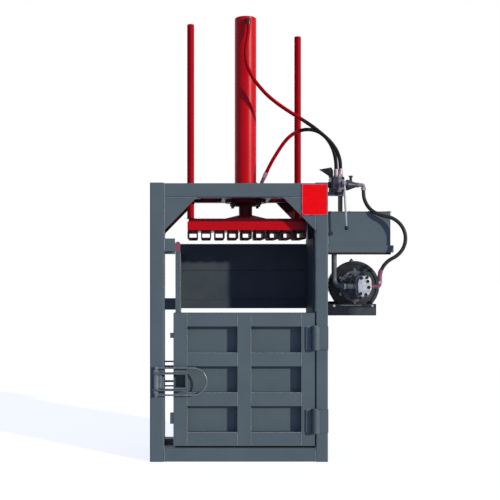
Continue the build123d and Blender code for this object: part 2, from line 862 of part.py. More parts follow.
# Directional valve with its lever lugs
lever_x = valve_left + 69
lever_pivot_y = -262
lever_pivot_z = bracket_top + 44
lever_pin_radius = 4
valve_mid_x = valve_left + valve_width / 2
valve_rear = valve_front + valve_depth
with BuildPart() as valve_body:
    with BuildSketch(facing(valve_rear)):
        span(valve_left, valve_left + valve_width, bracket_top, valve_top)
    extrude(amount=valve_depth)
    chamfer(valve_body.edges().filter_by(Axis.Y), length=5)
    with BuildSketch(facing(valve_front)):
        with Locations((valve_mid_x - 6, bracket_top + 44)):
            RectangleRounded(46, 58, 8)
    extrude(amount=12)
    with BuildSketch(Plane.YZ.offset(lever_x - 12)):
        with BuildLine():
            Polyline(
                (valve_front, lever_pivot_z - 16),
                (valve_front, lever_pivot_z + 16),
                (lever_pivot_y, lever_pivot_z + 9),
                (lever_pivot_y - 9, lever_pivot_z),
                (lever_pivot_y, lever_pivot_z - 9),
                close=True,
            )
        make_face()
    extrude(amount=24)
    with BuildSketch(Plane.YZ.offset(lever_x - 6)):
        span(lever_pivot_y - 12, valve_front - 14, lever_pivot_z - 20, lever_pivot_z + 20)
    extrude(amount=12, mode=Mode.SUBTRACT)
    with BuildSketch(Plane.YZ.offset(lever_x - 12)):
        with Locations((lever_pivot_y, lever_pivot_z)):
            Circle(lever_pin_radius)
    extrude(amount=24)
keep(valve_body.part, "valve_body")

lever_length = 250
lever_lean = 11
lever_bar_radius = 3.6
knob_radius = 11
lever_foot = (lever_x + lever_lean, lever_pivot_y, lever_pivot_z - lever_length)
lever_run = Vector(lever_lean, 0, -lever_length).normalized()
with BuildPart() as valve_lever:
    with BuildSketch(Plane.YZ.offset(lever_x - 6 + face_clearance)):
        with Locations((lever_pivot_y, lever_pivot_z)):
            Circle(8)
    extrude(amount=12 - 2 * face_clearance)
    with BuildSketch(Plane(origin=(lever_x, lever_pivot_y, lever_pivot_z), z_dir=lever_run)):
        Circle(lever_bar_radius)
    extrude(amount=lever_length)
    with BuildSketch(Plane.YZ.offset(lever_x - 12)):
        with Locations((lever_pivot_y, lever_pivot_z)):
            Circle(lever_pin_radius + running_clearance)
    extrude(amount=24, mode=Mode.SUBTRACT)
keep(valve_lever.part, "valve_lever")

knob_top = Vector(lever_x, lever_pivot_y, lever_pivot_z) + lever_run * (lever_length - knob_radius)
with BuildPart() as lever_knob:
    with BuildSketch(Plane(origin=knob_top, x_dir=(0, 1, 0), z_dir=lever_run)):
        Circle(knob_radius)
        Circle(lever_bar_radius + running_clearance, mode=Mode.SUBTRACT)
    extrude(amount=knob_radius)
    with BuildSketch(Plane(origin=knob_top + lever_run * knob_radius, x_dir=(0, 1, 0), z_dir=lever_run)):
        Circle(knob_radius)
    extrude(amount=knob_radius)
    chamfer(lever_knob.edges().filter_by(GeomType.CIRCLE).group_by(SortBy.RADIUS)[-1], length=4)
keep(lever_knob.part, "lever_knob")

guard_points = [(-56, 49), (13, 61), (23, 42), (23, 0), (2, 0), (-3, 14)]
with BuildPart() as valve_guard:
    with BuildSketch(facing(valve_rear - 4)):
        with BuildLine():
            Polyline(*[(valve_left + x, valve_top + z) for x, z in guard_points], close=True)
        make_face()
    extrude(amount=14)
keep(valve_guard.part, "valve_guard")

# Relief valve, its setting knob and the outlet elbow
relief_y = valve_front + 42
relief_z = bracket_top + 42
relief_left = valve_left + valve_width
hose_drop_x = relief_left + relief_reach
hose_drop_z = relief_z - 14
with BuildPart() as relief_valve:
    with BuildSketch(Plane(origin=(relief_left, relief_y, relief_z), x_dir=(1, 0, 0), z_dir=(0, -1, 0))):
        with BuildLine():
            Polyline((0, 0), (0, 17), (15, 17), (15, 30), (24, 31), (68, 14), (88, 14), (88, 0), close=True)
        make_face()
    revolve(axis=Axis((relief_left, relief_y, relief_z), (1, 0, 0)))
    with BuildSketch(Plane(origin=(relief_left + 42, relief_y, relief_z))):
        Circle(8)
    extrude(amount=44)
    with BuildSketch(Plane(origin=(relief_left + 42, relief_y, relief_z + 44))):
        RegularPolygon(12, 6)
    extrude(amount=9)
    with BuildLine():
        elbow_start = (relief_left + 80, relief_y, relief_z)
        elbow_corner = (hose_drop_x, relief_y, relief_z)
        FilletPolyline(elbow_start, elbow_corner, (hose_drop_x, relief_y, hose_drop_z), radius=12)
    with BuildSketch(Plane(origin=elbow_start, z_dir=(1, 0, 0))):
        Circle(fitting_radius)
    sweep()
keep(relief_valve.part, "relief_valve")


# Motor shelf, motor and pump
def motor_plane(y):
    """Upright plane through the motor's axis at depth y, extruding to the front."""
    return Plane(origin=(motor_x, y, motor_z), x_dir=(1, 0, 0), z_dir=(0, -1, 0))


with BuildPart() as motor_shelf:
    with BuildSketch(Plane.XY.offset(shelf_low)):
        span(right_outer_x, right_outer_x + shelf_width, -shelf_depth / 2, shelf_depth / 2)
    extrude(amount=shelf_height)
    with BuildSketch(Plane.XY.offset(shelf_floor)):
        span(
            right_outer_x + shelf_wall,
            right_outer_x + shelf_width - shelf_wall,
            -shelf_depth / 2 + shelf_wall,
            shelf_depth / 2 - shelf_wall,
        )
    extrude(amount=shelf_height, mode=Mode.SUBTRACT)
keep(motor_shelf.part, "motor_shelf")

motor_rear = -motor_front + motor_length
with BuildPart() as motor_housing:
    with BuildSketch(motor_plane(motor_rear)):
        Circle(motor_radius - fin_height)
        with PolarLocations(motor_radius - fin_height / 2 - 1, fin_count):
            Rectangle(fin_height + 2, 4)
    extrude(amount=motor_length)
    for side in (-1, 1):
        with BuildSketch(motor_plane(motor_rear - motor_foot_inset)):
            with Locations((side * 72, -motor_height / 2 - 32)):
                Rectangle(16, motor_height - 64)
            with Locations((side * 76, -motor_height + 8)):
                Rectangle(54, 16)
        extrude(amount=motor_length - 2 * motor_foot_inset)
    with BuildSketch(Plane.YZ.offset(motor_x + motor_radius - 20)):
        with Locations((50, motor_z + 10)):
            RectangleRounded(terminal_box_length, terminal_box_height, 8)
    extrude(amount=52)
keep(motor_housing.part, "motor_housing")

with BuildPart() as motor_end_shield:
    with BuildSketch(motor_plane(-motor_front)):
        Circle(end_shield_radius)
    extrude(amount=end_shield_thickness)
    chamfer(motor_end_shield.edges().group_by(Axis.Y)[0], length=5)
    with BuildSketch(motor_plane(-motor_front - end_shield_thickness)):
        Circle(end_shield_radius * 0.88)
        Circle(end_shield_radius * 0.72, mode=Mode.SUBTRACT)
    extrude(amount=-6, mode=Mode.SUBTRACT)
keep(motor_end_shield.part, "motor_end_shield")

with BuildPart() as motor_fan_cover:
    with BuildSketch(motor_plane(motor_rear + fan_cover_length)):
        Circle(motor_radius)
    extrude(amount=fan_cover_length)
    chamfer(motor_fan_cover.edges().group_by(Axis.Y)[-1], length=4)
    with BuildSketch(motor_plane(motor_rear + fan_cover_length - 3)):
        Circle(motor_radius - 3)
    extrude(amount=fan_cover_length, mode=Mode.SUBTRACT)
    with BuildSketch(motor_plane(motor_rear + fan_cover_length + 1)):
        with PolarLocations(motor_radius * 0.55, 12):
            Rectangle(50, 9)
    extrude(amount=8, mode=Mode.SUBTRACT)
keep(motor_fan_cover.part, "motor_fan_cover")

adapter_rear = -motor_front - end_shield_thickness
adapter_front = adapter_rear - adapter_length
with BuildPart() as pump_adapter:
    with BuildSketch(motor_plane(adapter_rear)):
        Circle(adapter_flange_radius)
    extrude(amount=adapter_flange_thickness)
    with BuildSketch(motor_plane(adapter_rear)):
        with Locations((pump_shift * 0.6, 0)):
            Circle(adapter_radius)
    extrude(amount=adapter_length)
keep(pump_adapter.part, "pump_adapter")

pump_x = motor_x + pump_shift
with BuildPart() as pump_body:
    with BuildSketch(motor_plane(adapter_front)):
        with Locations((pump_shift, 0)):
            RectangleRounded(pump_width, pump_height, 30)
    extrude(amount=pump_length)
    with BuildSketch(motor_plane(adapter_front)):
        with Locations((pump_shift, 0)):
            RectangleRounded(pump_width + 14, pump_height + 14, 36)
    extrude(amount=12)
    chamfer(pump_body.edges().group_by(Axis.Y)[0], length=4)
keep(pump_body.part, "pump_body")

outlet_y = adapter_front - 45
outlet_left = pump_x + pump_width / 2
outlet_x = outlet_left + 56
outlet_top = motor_z + 15
with BuildPart() as pump_outlet_elbow:
    with BuildLine():
        FilletPolyline(
            (outlet_left, outlet_y, motor_z),
            (outlet_x, outlet_y, motor_z),
            (outlet_x, outlet_y, outlet_top),
            radius=14,
        )
    with BuildSketch(Plane(origin=(outlet_left, outlet_y, motor_z), z_dir=(1, 0, 0))):
        Circle(fitting_radius)
    sweep()
    with BuildSketch(Plane(origin=(outlet_left, outlet_y, motor_z), z_dir=(1, 0, 0))):
        RegularPolygon(fitting_radius * 1.5, 6)
    extrude(amount=12)
keep(pump_outlet_elbow.part, "pump_outlet_elbow")

suction_x = right_outer_x + 43
suction_y = -tank_depth / 2 + suction_radius + 4
inlet_x = pump_x - pump_width / 2
with BuildPart() as suction_pipe:
    with BuildLine():
        FilletPolyline(
            (suction_x, suction_y, tray_low),
            (suction_x, suction_y, motor_z),
            (inlet_x - 52, outlet_y, motor_z),
            (inlet_x, outlet_y, motor_z),
            radius=[42, 26],
        )
    with BuildSketch(Plane(origin=(suction_x, suction_y, tray_low), z_dir=(0, 0, -1))):
        Circle(suction_radius)
    sweep()
keep(suction_pipe.part, "suction_pipe")

with BuildPart() as cover_plate:
    with BuildSketch(facing(front_y)):
        with Locations((plate_left + plate_width / 2, plate_low + plate_height / 2)):
            RectangleRounded(plate_width, plate_height, 3)
    extrude(amount=plate_thickness)
keep(cover_plate.part, "cover_plate")

# Hydraulic hoses: each route starts and ends face to face with a ferrule
upper_route = [
    (13, -95, 2488),
    (13, -95, 2456),
    (8, -99, 2420),
    (0, -105, 2378),
    (-6, -111, 2330),
    (-4, -119, 2276),
    (10, -126, 2226),
    (34, -133, 2176),
    (66, -140, 2130),
    (110, -147, 2078),
    (160, -153, 2034),
    (214, -159, 1994),
    (270, -165, 1957),
    (326, -173, 1921),
    (380, -184, 1881),
    (430, -194, 1838),
    (474, -200, 1796),
    (504, -202, 1752),
    (520, -202, 1710),
    (526, -201, 1674),
    (526, -201, 1646),
]
lower_route = [
    (116, -86, 1636),
    (136, -98, 1680),
    (170, -108, 1738),
    (206, -116, 1794),
    (242, -122, 1837),
    (287, -128, 1867),
    (339, -134, 1880),
    (393, -140, 1873),
    (438, -145, 1847),
    (471, -149, 1807),
    (493, -151, 1762),
    (505, -152, 1715),
    (509, -152, 1676),
    (509, -152, 1648),
]
pressure_route = [
    (660, -180, 1526),
    (660, -180, 1499),
    (666, -184, 1467),
    (684, -195, 1429),
    (716, -211, 1398),
    (762, -226, 1380),
    (801, -236, 1372),
    (840, -244, 1348),
    (869, -250, 1312),
    (882, -255, 1268),
    (879, -258, 1222),
    (859, -259, 1180),
    (826, -259, 1149),
    (791, -256, 1132),
    (762, -253, 1104),
    (745, -251, 1072),
    (738, -250, 1040),
    (738, -250, 1014),
]


def corner_radii(route):
    """Radius of each corner: as large as its two runs allow."""
    points = [Vector(*point) for point in route]
    radii = []
    for before, corner, after in zip(points, points[1:], points[2:]):
        shorter = min((corner - before).length, (after - corner).length)
        half_turn = radians((corner - before).get_angle(after - corner)) / 2
        radii.append(0.45 * shorter / tan(half_turn))
    return radii


def hose(name, route):
    """Plain hose along a route of straight runs and tangent arcs."""
    radii = corner_radii(route)
    start = Vector(*route[0])
    with BuildPart() as tube:
        with BuildLine() as path:
            FilletPolyline(*route, radius=radii)
        with BuildSketch(Plane(origin=start, z_dir=Vector(*route[1]) - start)):
            Circle(hose_radius)
        sweep()
    length = sum(edge.length for edge in path.line.edges())
    expected = length * 3.14159265 * hose_radius**2
    print(name, "length", round(length), "radii", [round(r) for r in radii])
    print(name, "volume over section times length", round(tube.part.volume / expected, 4))
    keep(tube.part, name)


hose("hose_upper", upper_route)
hose("hose_lower", lower_route)
hose("hose_pressure", pressure_route)


def ferrule(end, inner, length):
    """Crimped hose end: starts face to face with the hose's end and runs away from the hose."""
    away = (Vector(*end) - Vector(*inner)).normalized()
    with BuildPart() as socket:
        with BuildSketch(Plane(origin=end, z_dir=away)):
            Circle(ferrule_radius)
        extrude(amount=length)
        chamfer(socket.edges().sort_by(Axis(end, away))[0], length=1)
    return socket.part


def upright_ferrule(end, length):
    """Crimped hose end that runs straight up from the hose's end, or down if the length is negative."""
    with BuildPart() as socket:
        with BuildSketch(Plane(origin=end)):
            Circle(ferrule_radius)
        extrude(amount=length)
    return socket.part


lower_end = Vector(*lower_route[0])
lower_away = (lower_end - Vector(*lower_route[1])).normalized()
ferrules = [
    upright_ferrule(upper_route[0], short_ferrule_length),
    upright_ferrule(upper_route[-1], -upper_valve_ferrule_length),
    ferrule(lower_route[0], lower_route[1], ferrule_length),
    upright_ferrule(lower_route[-1], -lower_valve_ferrule_length),
    upright_ferrule(pressure_route[0], short_ferrule_length),
    upright_ferrule(pressure_route[-1], -short_ferrule_length),
]
keep(Compound(children=ferrules), "hose_ferrules")


def port_elbow(angle, z, foot, foot_direction, foot_length):
    """Fitting screwed into a port boss, turning towards its hose."""
    start = radial_plane(angle, z, barrel_radius + boss_length)
    reach = (Vector(*foot) - foot_direction * foot_length - start.origin).length
    with BuildPart() as elbow:
        with BuildSketch(start):
            RegularPolygon(15, 6)
        extrude(amount=8)
        with BuildSketch(start):
            Circle(fitting_radius)
        extrude(amount=reach)
        with BuildSketch(Plane(origin=foot, z_dir=foot_direction * -1)):
            Circle(fitting_radius)
        extrude(amount=foot_length)
    return elbow.part


ferrule_foot = lower_end + lower_away * ferrule_length
upper_foot = (upper_route[0][0], upper_route[0][1], upper_port_z - elbow_foot_length)
elbows = [
    port_elbow(upper_port_angle, upper_port_z, upper_foot, Vector(0, 0, -1), elbow_foot_length),
    port_elbow(lower_port_angle, lower_port_z, tuple(ferrule_foot), lower_away * -1, lower_elbow_foot_length),
]
keep(Compound(children=elbows), "port_elbows")
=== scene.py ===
"""Looks of the vertical baling press: paints, hoses, welds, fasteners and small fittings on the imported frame.

Metres in the press's own frame: the origin is on the cylinder's axis at floor level, -Y is the front,
+X the pump side and +Z up.
"""

from __future__ import annotations

import json
import logging
import math
from dataclasses import dataclass, field
from enum import Enum, IntEnum
from typing import ClassVar, Iterable, NamedTuple, Sequence

import bmesh
import bpy
from mathutils import Matrix, Vector

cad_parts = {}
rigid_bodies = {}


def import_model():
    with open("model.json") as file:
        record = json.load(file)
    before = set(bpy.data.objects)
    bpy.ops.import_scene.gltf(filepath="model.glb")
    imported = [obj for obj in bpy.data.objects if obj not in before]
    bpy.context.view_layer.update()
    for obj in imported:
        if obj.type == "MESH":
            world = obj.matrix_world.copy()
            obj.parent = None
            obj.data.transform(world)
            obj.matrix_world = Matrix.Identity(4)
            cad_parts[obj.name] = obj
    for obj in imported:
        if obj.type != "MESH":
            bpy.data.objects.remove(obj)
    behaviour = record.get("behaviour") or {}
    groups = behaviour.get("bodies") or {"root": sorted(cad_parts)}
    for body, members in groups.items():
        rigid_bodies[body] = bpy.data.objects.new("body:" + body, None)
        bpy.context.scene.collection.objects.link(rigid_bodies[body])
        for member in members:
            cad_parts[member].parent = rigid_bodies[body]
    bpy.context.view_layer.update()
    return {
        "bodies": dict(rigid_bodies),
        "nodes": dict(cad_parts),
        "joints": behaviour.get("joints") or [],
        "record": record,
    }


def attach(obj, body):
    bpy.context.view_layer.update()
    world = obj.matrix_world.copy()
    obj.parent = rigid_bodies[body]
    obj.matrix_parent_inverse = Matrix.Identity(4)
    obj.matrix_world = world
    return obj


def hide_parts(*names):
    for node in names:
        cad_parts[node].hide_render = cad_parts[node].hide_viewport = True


LOG = logging.getLogger("press")
MM = 0.001
Pair = tuple[float, float]
Point = tuple[float, float, float]
Profile = tuple[Pair, ...]
UP: Point = (0, 0, 1)
FRONT: Point = (0, -1, 0)
Socket = bpy.types.NodeSocket
WHITE = (1.0, 1.0, 1.0, 1.0)
# The finishes' shared noise: scales in cycles per metre, ranges as shares, depth in metres
SURFACE_NUMBERS = ("mottle", "scale", "roughness", "spread", "grain", "bump")
CLOUD_DETAIL, CLOUD_ROUGH, CLOUD_SPAN = 6.0, 0.62, (0.36, 0.66)
SPECK_SCALE, SPECK_DETAIL, SPECK_SPAN, SPECK_SHARE = 160.0, 4.0, (0.3, 0.7), (0.8, 1.0)
GRAIN_DEPTH = 0.0015
EDGE_SCALE, EDGE_RAGGED = 30.0, 0.8
# Largest angle between faces that still looks smooth, degrees
SMOOTH_ANGLE = 35.0
# Weld beads: section and wander in millimetres, turn from section to section, ripple as a share of the radius
BEAD_STEP, BEAD_WANDER, BEAD_WAVE, BEAD_RIPPLE, BEAD_SIDES = 4.2, 0.4, 0.7, 0.14, 8


class Body(str, Enum):
    """Bodies of the press that pieces ride on."""

    FRAME = "frame"
    PLATEN = "platen"
    FRONT_DOOR = "front_door"
    FRONT_LATCH = "front_latch"
    REAR_DOOR = "rear_door"
    REAR_LATCH = "rear_latch"
    LEVER = "valve_lever"


class Slot(str, Enum):
    """Material slots of the record."""

    GREY = "grey_paint"
    RED = "red_paint"
    BRIGHT_RED = "bright_red_paint"
    WORN = "worn_steel"
    BRIGHT = "bright_steel"
    DARK = "dark_steel"
    IRON = "black_iron"
    CAST = "cast_grey"
    RUBBER = "black_rubber"
    PLASTIC = "black_plastic"


class Coat(str, Enum):
    """Finishes that the press wears."""

    GREY = "slate_grey"
    CHAMBER = "chamber_grey"
    SHELF = "shelf_grey"
    OILED = "oiled_shelf"
    SEAM = "seam_grey"
    BRACKET = "bracket_grey"
    SHIELD = "shield_grey"
    CASTING = "rough_casting"
    RED = "press_red"
    ROD = "rod_red"
    PALE_EDGE = "worn_red_edge"
    BRIGHT_RED = "signal_red"
    MAROON = "shaded_maroon"
    CHANNEL = "channel_maroon"
    OVERSPRAY = "overspray_pink"
    SPRAYED = "oversprayed_steel"
    SPECKLED = "speckled_steel"
    LATCH = "latch_grey"
    BRIGHT = "bright_steel"
    HANDLE = "handle_steel"
    IRON = "black_iron"
    VALVE = "valve_iron"
    CAST = "cast_grey"
    RUBBER = "black_rubber"
    PIPE = "suction_rubber"
    PLASTIC = "black_plastic"


class Axis(IntEnum):
    """Axes along which a finish changes."""

    X = 0
    Y = 1
    Z = 2


@dataclass(frozen=True)
class Finish:
    """Surface description of one material.

    Attributes:
        coat: Name of the finish.
        slot: Record slot that the material belongs to.
        colour: Base colour, linear.
        second: Colour of the mottling, linear.
        mottle: Share of the second colour at its strongest.
        scale: Mottling's size, as noise cycles per metre.
        roughness: Mean roughness.
        spread: How far the roughness varies.
        metallic: Metalness.
        grain: Bump's noise cycles per metre.
        bump: Bump strength.
        specular: Specular level.
    """

    coat: Coat
    slot: Slot
    colour: Point
    second: Point
    mottle: float
    scale: float
    roughness: float
    spread: float
    metallic: float = 0.0
    grain: float = 900.0
    bump: float = 0.05
    specular: float = 0.22


FINISHES = (
    Finish(Coat.GREY, Slot.GREY, (0.084, 0.112, 0.121), (0.064, 0.089, 0.095), 0.55, 5.0, 0.48, 0.12,
           bump=0.07),
    # Welds and beads in a grey lighter than the paint, standing in for the highlights they catch: painted
    # highlight.
    Finish(Coat.SEAM, Slot.GREY, (0.290, 0.325, 0.335), (0.110, 0.130, 0.140), 0.70, 60.0, 0.40, 0.12,
           bump=0.08),
    # Darker grey of the chamber's inside, its right wall, floor and back panel: painted shade.
    Finish(Coat.CHAMBER, Slot.GREY, (0.057, 0.071, 0.080), (0.038, 0.050, 0.065), 0.75, 9.0, 0.58, 0.14,
           bump=0.10, specular=0.12),
    Finish(Coat.SHELF, Slot.GREY, (0.062, 0.071, 0.069), (0.028, 0.034, 0.036), 0.75, 26.0, 0.45, 0.14,
           bump=0.10),
    # Near-black that stands in for the motor's shadow on the shelf: painted shadow.
    Finish(Coat.OILED, Slot.GREY, (0.012, 0.014, 0.021), (0.006, 0.008, 0.013), 0.75, 30.0, 0.40, 0.14,
           specular=0.12),
    # Near-black grey of the valve bracket: painted shade.
    Finish(Coat.BRACKET, Slot.GREY, (0.020, 0.024, 0.033), (0.010, 0.012, 0.018), 0.70, 24.0, 0.46, 0.14,
           specular=0.12),
    Finish(Coat.RED, Slot.RED, (0.53, 0.0006, 0.006), (0.40, 0.0005, 0.004), 0.55, 7.0, 0.34, 0.06,
           specular=0.12),
    Finish(Coat.ROD, Slot.RED, (0.37, 0.0004, 0.004), (0.26, 0.0003, 0.003), 0.60, 9.0, 0.50, 0.08,
           specular=0.04),
    Finish(Coat.BRIGHT_RED, Slot.BRIGHT_RED, (0.95, 0.001, 0.004), (0.70, 0.002, 0.006), 0.90, 34.0, 0.55,
           0.14, bump=0.10, specular=0.06),
    # Pale pink of the bead round the cover plate.
    Finish(Coat.PALE_EDGE, Slot.BRIGHT_RED, (0.52, 0.16, 0.20), (0.30, 0.02, 0.03), 0.90, 50.0, 0.50, 0.12),
    # Dark maroon that stands in for red paint in shade: painted shade on the rod, flange, gland, piston, platen
    # top and the shaded ends of crown and platen. The upper port fittings also fade to it.
    Finish(Coat.MAROON, Slot.DARK, (0.080, 0.001, 0.005), (0.030, 0.002, 0.005), 0.70, 22.0, 0.42, 0.12,
           bump=0.06, specular=0.10),
    # Near-black maroon of the strap channels: painted shade.
    Finish(Coat.CHANNEL, Slot.RED, (0.045, 0.001, 0.004), (0.009, 0.001, 0.005), 0.80, 30.0, 0.55, 0.12,
           bump=0.08, specular=0.08),
    Finish(Coat.OVERSPRAY, Slot.RED, (0.34, 0.08, 0.13), (0.085, 0.060, 0.068), 0.95, 60.0, 0.45, 0.14,
           bump=0.10),
    Finish(Coat.SPRAYED, Slot.BRIGHT, (0.54, 0.44, 0.47), (0.13, 0.045, 0.065), 0.90, 70.0, 0.36, 0.14,
           metallic=0.30, specular=0.3),
    Finish(Coat.SPECKLED, Slot.BRIGHT, (0.27, 0.22, 0.25), (0.008, 0.007, 0.012), 0.97, 85.0, 0.40, 0.14,
           bump=0.20, specular=0.2),
    Finish(Coat.LATCH, Slot.WORN, (0.165, 0.195, 0.205), (0.045, 0.056, 0.070), 0.70, 45.0, 0.32, 0.14,
           metallic=0.20, bump=0.10, specular=0.4),
    Finish(Coat.BRIGHT, Slot.BRIGHT, (0.42, 0.41, 0.41), (0.20, 0.19, 0.20), 0.60, 90.0, 0.34, 0.14,
           metallic=0.80, specular=0.5),
    Finish(Coat.HANDLE, Slot.BRIGHT, (0.40, 0.41, 0.40), (0.16, 0.17, 0.18), 0.60, 50.0, 0.34, 0.12,
           metallic=0.30, specular=0.4),
    Finish(Coat.IRON, Slot.IRON, (0.006, 0.007, 0.010), (0.032, 0.035, 0.037), 0.55, 30.0, 0.42, 0.18,
           grain=420, bump=0.20, specular=0.14),
    Finish(Coat.SHIELD, Slot.IRON, (0.060, 0.066, 0.064), (0.010, 0.012, 0.014), 0.80, 26.0, 0.42, 0.18,
           grain=420, bump=0.20, specular=0.18),
    Finish(Coat.CASTING, Slot.IRON, (0.130, 0.138, 0.136), (0.005, 0.006, 0.012), 0.97, 40.0, 0.44, 0.18,
           grain=420, bump=0.30, specular=0.18),
    Finish(Coat.VALVE, Slot.IRON, (0.012, 0.014, 0.024), (0.070, 0.070, 0.088), 0.50, 42.0, 0.38, 0.16,
           grain=420, bump=0.20, specular=0.25),
    Finish(Coat.CAST, Slot.CAST, (0.60, 0.61, 0.60), (0.13, 0.14, 0.16), 0.70, 48.0, 0.40, 0.14,
           metallic=0.15, bump=0.24),
    Finish(Coat.RUBBER, Slot.RUBBER, (0.012, 0.011, 0.012), (0.036, 0.034, 0.036), 0.60, 60.0, 0.45, 0.12,
           bump=0.12, specular=0.2),
    Finish(Coat.PIPE, Slot.RUBBER, (0.110, 0.118, 0.118), (0.025, 0.028, 0.032), 0.75, 30.0, 0.36, 0.12,
           bump=0.10, specular=0.3),
    Finish(Coat.PLASTIC, Slot.PLASTIC, (0.012, 0.012, 0.014), (0.045, 0.045, 0.046), 0.60, 40.0, 0.40, 0.10),
)


@dataclass(frozen=True)
class Hose:
    """A hydraulic hose along its route.

    Attributes:
        node: CAD node that the hose stands for.
        route: Control points, millimetres.
        length: Real length, metres.
        red_until: X in metres up to which red overspray covers it, or None.
    """

    node: str
    route: tuple[Point, ...]
    length: float
    red_until: float | None


HOSE_DIAMETER = 0.021
HOSES = (
    Hose(
        "hose_upper",
        (
            (13, -95, 2488), (13, -95, 2456), (8, -99, 2420), (0, -105, 2378), (-6, -111, 2330),
            (-4, -119, 2276), (10, -126, 2226), (34, -133, 2176), (66, -140, 2130), (110, -147, 2078),
            (160, -153, 2034), (214, -159, 1994), (270, -165, 1957), (326, -173, 1921), (380, -184, 1881),
            (430, -194, 1838), (474, -200, 1796), (504, -202, 1752), (520, -202, 1710), (526, -201, 1674),
            (526, -201, 1646),
        ),
        1.07,
        0.31,
    ),
    Hose(
        "hose_lower",
        (
            (116, -86, 1636), (136, -98, 1680), (170, -108, 1738), (206, -116, 1794), (242, -122, 1837),
            (287, -128, 1867), (339, -134, 1880), (393, -140, 1873), (438, -145, 1847), (471, -149, 1807),
            (493, -151, 1762), (505, -152, 1715), (509, -152, 1676), (509, -152, 1648),
        ),
        0.67,
        0.30,
    ),
    Hose(
        "hose_pressure",
        (
            (660, -180, 1526), (660, -180, 1499), (666, -184, 1467), (684, -195, 1429), (716, -211, 1398),
            (762, -226, 1380), (801, -236, 1372), (840, -244, 1348), (869, -250, 1312), (882, -255, 1268),
            (879, -258, 1222), (859, -259, 1180), (826, -259, 1149), (791, -256, 1132), (762, -253, 1104),
            (745, -251, 1072), (738, -250, 1040), (738, -250, 1014),
        ),
        0.69,
        None,
    ),
)


def metres(point: Sequence[float]) -> Vector:
    """Turns a point in millimetres into a vector in metres."""
    return Vector(point) * MM


class Nodes:
    """Short way to add nodes to a tree."""

    def __init__(self, tree: bpy.types.NodeTree) -> None:
        """Keeps the tree."""
        self.tree = tree

    def add(self, kind: str, inputs: dict | None = None, **options: object) -> bpy.types.Node:
        """Adds a node, sets its options and fills its inputs.

        Args:
            kind: Blender's name of the node type.
            inputs: Values, or sockets to link, by input.
            options: Options of the node, such as its operation.

        Returns:
            The node.
        """
        node = self.tree.nodes.new(kind)
        for option, value in options.items():
            setattr(node, option, value)
        self.fill(node, inputs or {})
        return node

    def fill(self, node: bpy.types.Node, inputs: dict) -> None:
        """Sets or links inputs of a node.

        Args:
            node: The node.
            inputs: Values, or sockets to link, by input.
        """
        for key, value in inputs.items():
            if isinstance(value, Socket):
                self.tree.links.new(value, node.inputs[key])
            else:
                node.inputs[key].default_value = value

    def maths(self, operation: str, *values: Socket | float, clamp: bool = False) -> Socket:
        """Adds a Math node and returns its result."""
        inputs = dict(enumerate(values))
        return self.add("ShaderNodeMath", inputs, operation=operation, use_clamp=clamp).outputs[0]

    def noise(self, place: Socket, scale: Socket | float, detail: float = 2.0, rough: float = 0.5) -> Socket:
        """Adds a noise texture at coordinates, with its scale in cycles per metre, and returns its value."""
        inputs = {"Vector": place, "Scale": scale, "Detail": detail, "Roughness": rough}
        return self.add("ShaderNodeTexNoise", inputs).outputs["Fac"]

    def remap(self, value: Socket, source: Pair, target: Pair = (0.0, 1.0)) -> Socket:
        """Adds a Map Range node from one range to another and returns its result."""
        ends = dict(zip(("From Min", "From Max", "To Min", "To Max"), source + target))
        return self.add("ShaderNodeMapRange", {"Value": value, **ends}).outputs["Result"]

    def blend(self, share: Socket, one: Socket, two: Socket) -> Socket:
        """Mixes two colours by the share of the second and returns the result."""
        inputs = {"Factor": share, "A": one, "B": two}
        return self.add("ShaderNodeMix", inputs, data_type="RGBA").outputs["Result"]


def surface_group() -> bpy.types.ShaderNodeTree:
    """Builds the mottling, roughness and grain that every finish shares.

    Returns:
        The node group.
    """
    tree = bpy.data.node_groups.new("press_surface", "ShaderNodeTree")
    inputs = {"Color": ("Colour", "Second"), "Float": [name.capitalize() for name in SURFACE_NUMBERS]}
    for kind, names in inputs.items():
        for name in names:
            tree.interface.new_socket(name=name, in_out="INPUT", socket_type=f"NodeSocket{kind}")
    for name, kind in (("Colour", "Color"), ("Roughness", "Float"), ("Normal", "Vector")):
        tree.interface.new_socket(name=name, in_out="OUTPUT", socket_type=f"NodeSocket{kind}")
    make = Nodes(tree)
    given = make.add("NodeGroupInput").outputs
    place = make.add("ShaderNodeTexCoord").outputs["Object"]
    cloud = make.noise(place, given["Scale"], CLOUD_DETAIL, CLOUD_ROUGH)
    speck = make.noise(place, SPECK_SCALE, SPECK_DETAIL)
    amount = make.maths("MULTIPLY", make.remap(cloud, CLOUD_SPAN), given["Mottle"])
    share = make.maths("MULTIPLY", amount, make.remap(speck, SPECK_SPAN, SPECK_SHARE))
    centred = make.maths("SUBTRACT", speck, 0.5)
    rough = make.maths("MULTIPLY_ADD", centred, given["Spread"], given["Roughness"], clamp=True)
    grain = make.noise(place, given["Grain"])
    bump = make.add("ShaderNodeBump", {"Distance": GRAIN_DEPTH, "Strength": given["Bump"], "Height": grain})
    colour = make.blend(share, given["Colour"], given["Second"])
    make.add("NodeGroupOutput", {"Colour": colour, "Roughness": rough, "Normal": bump.outputs["Normal"]})
    return tree


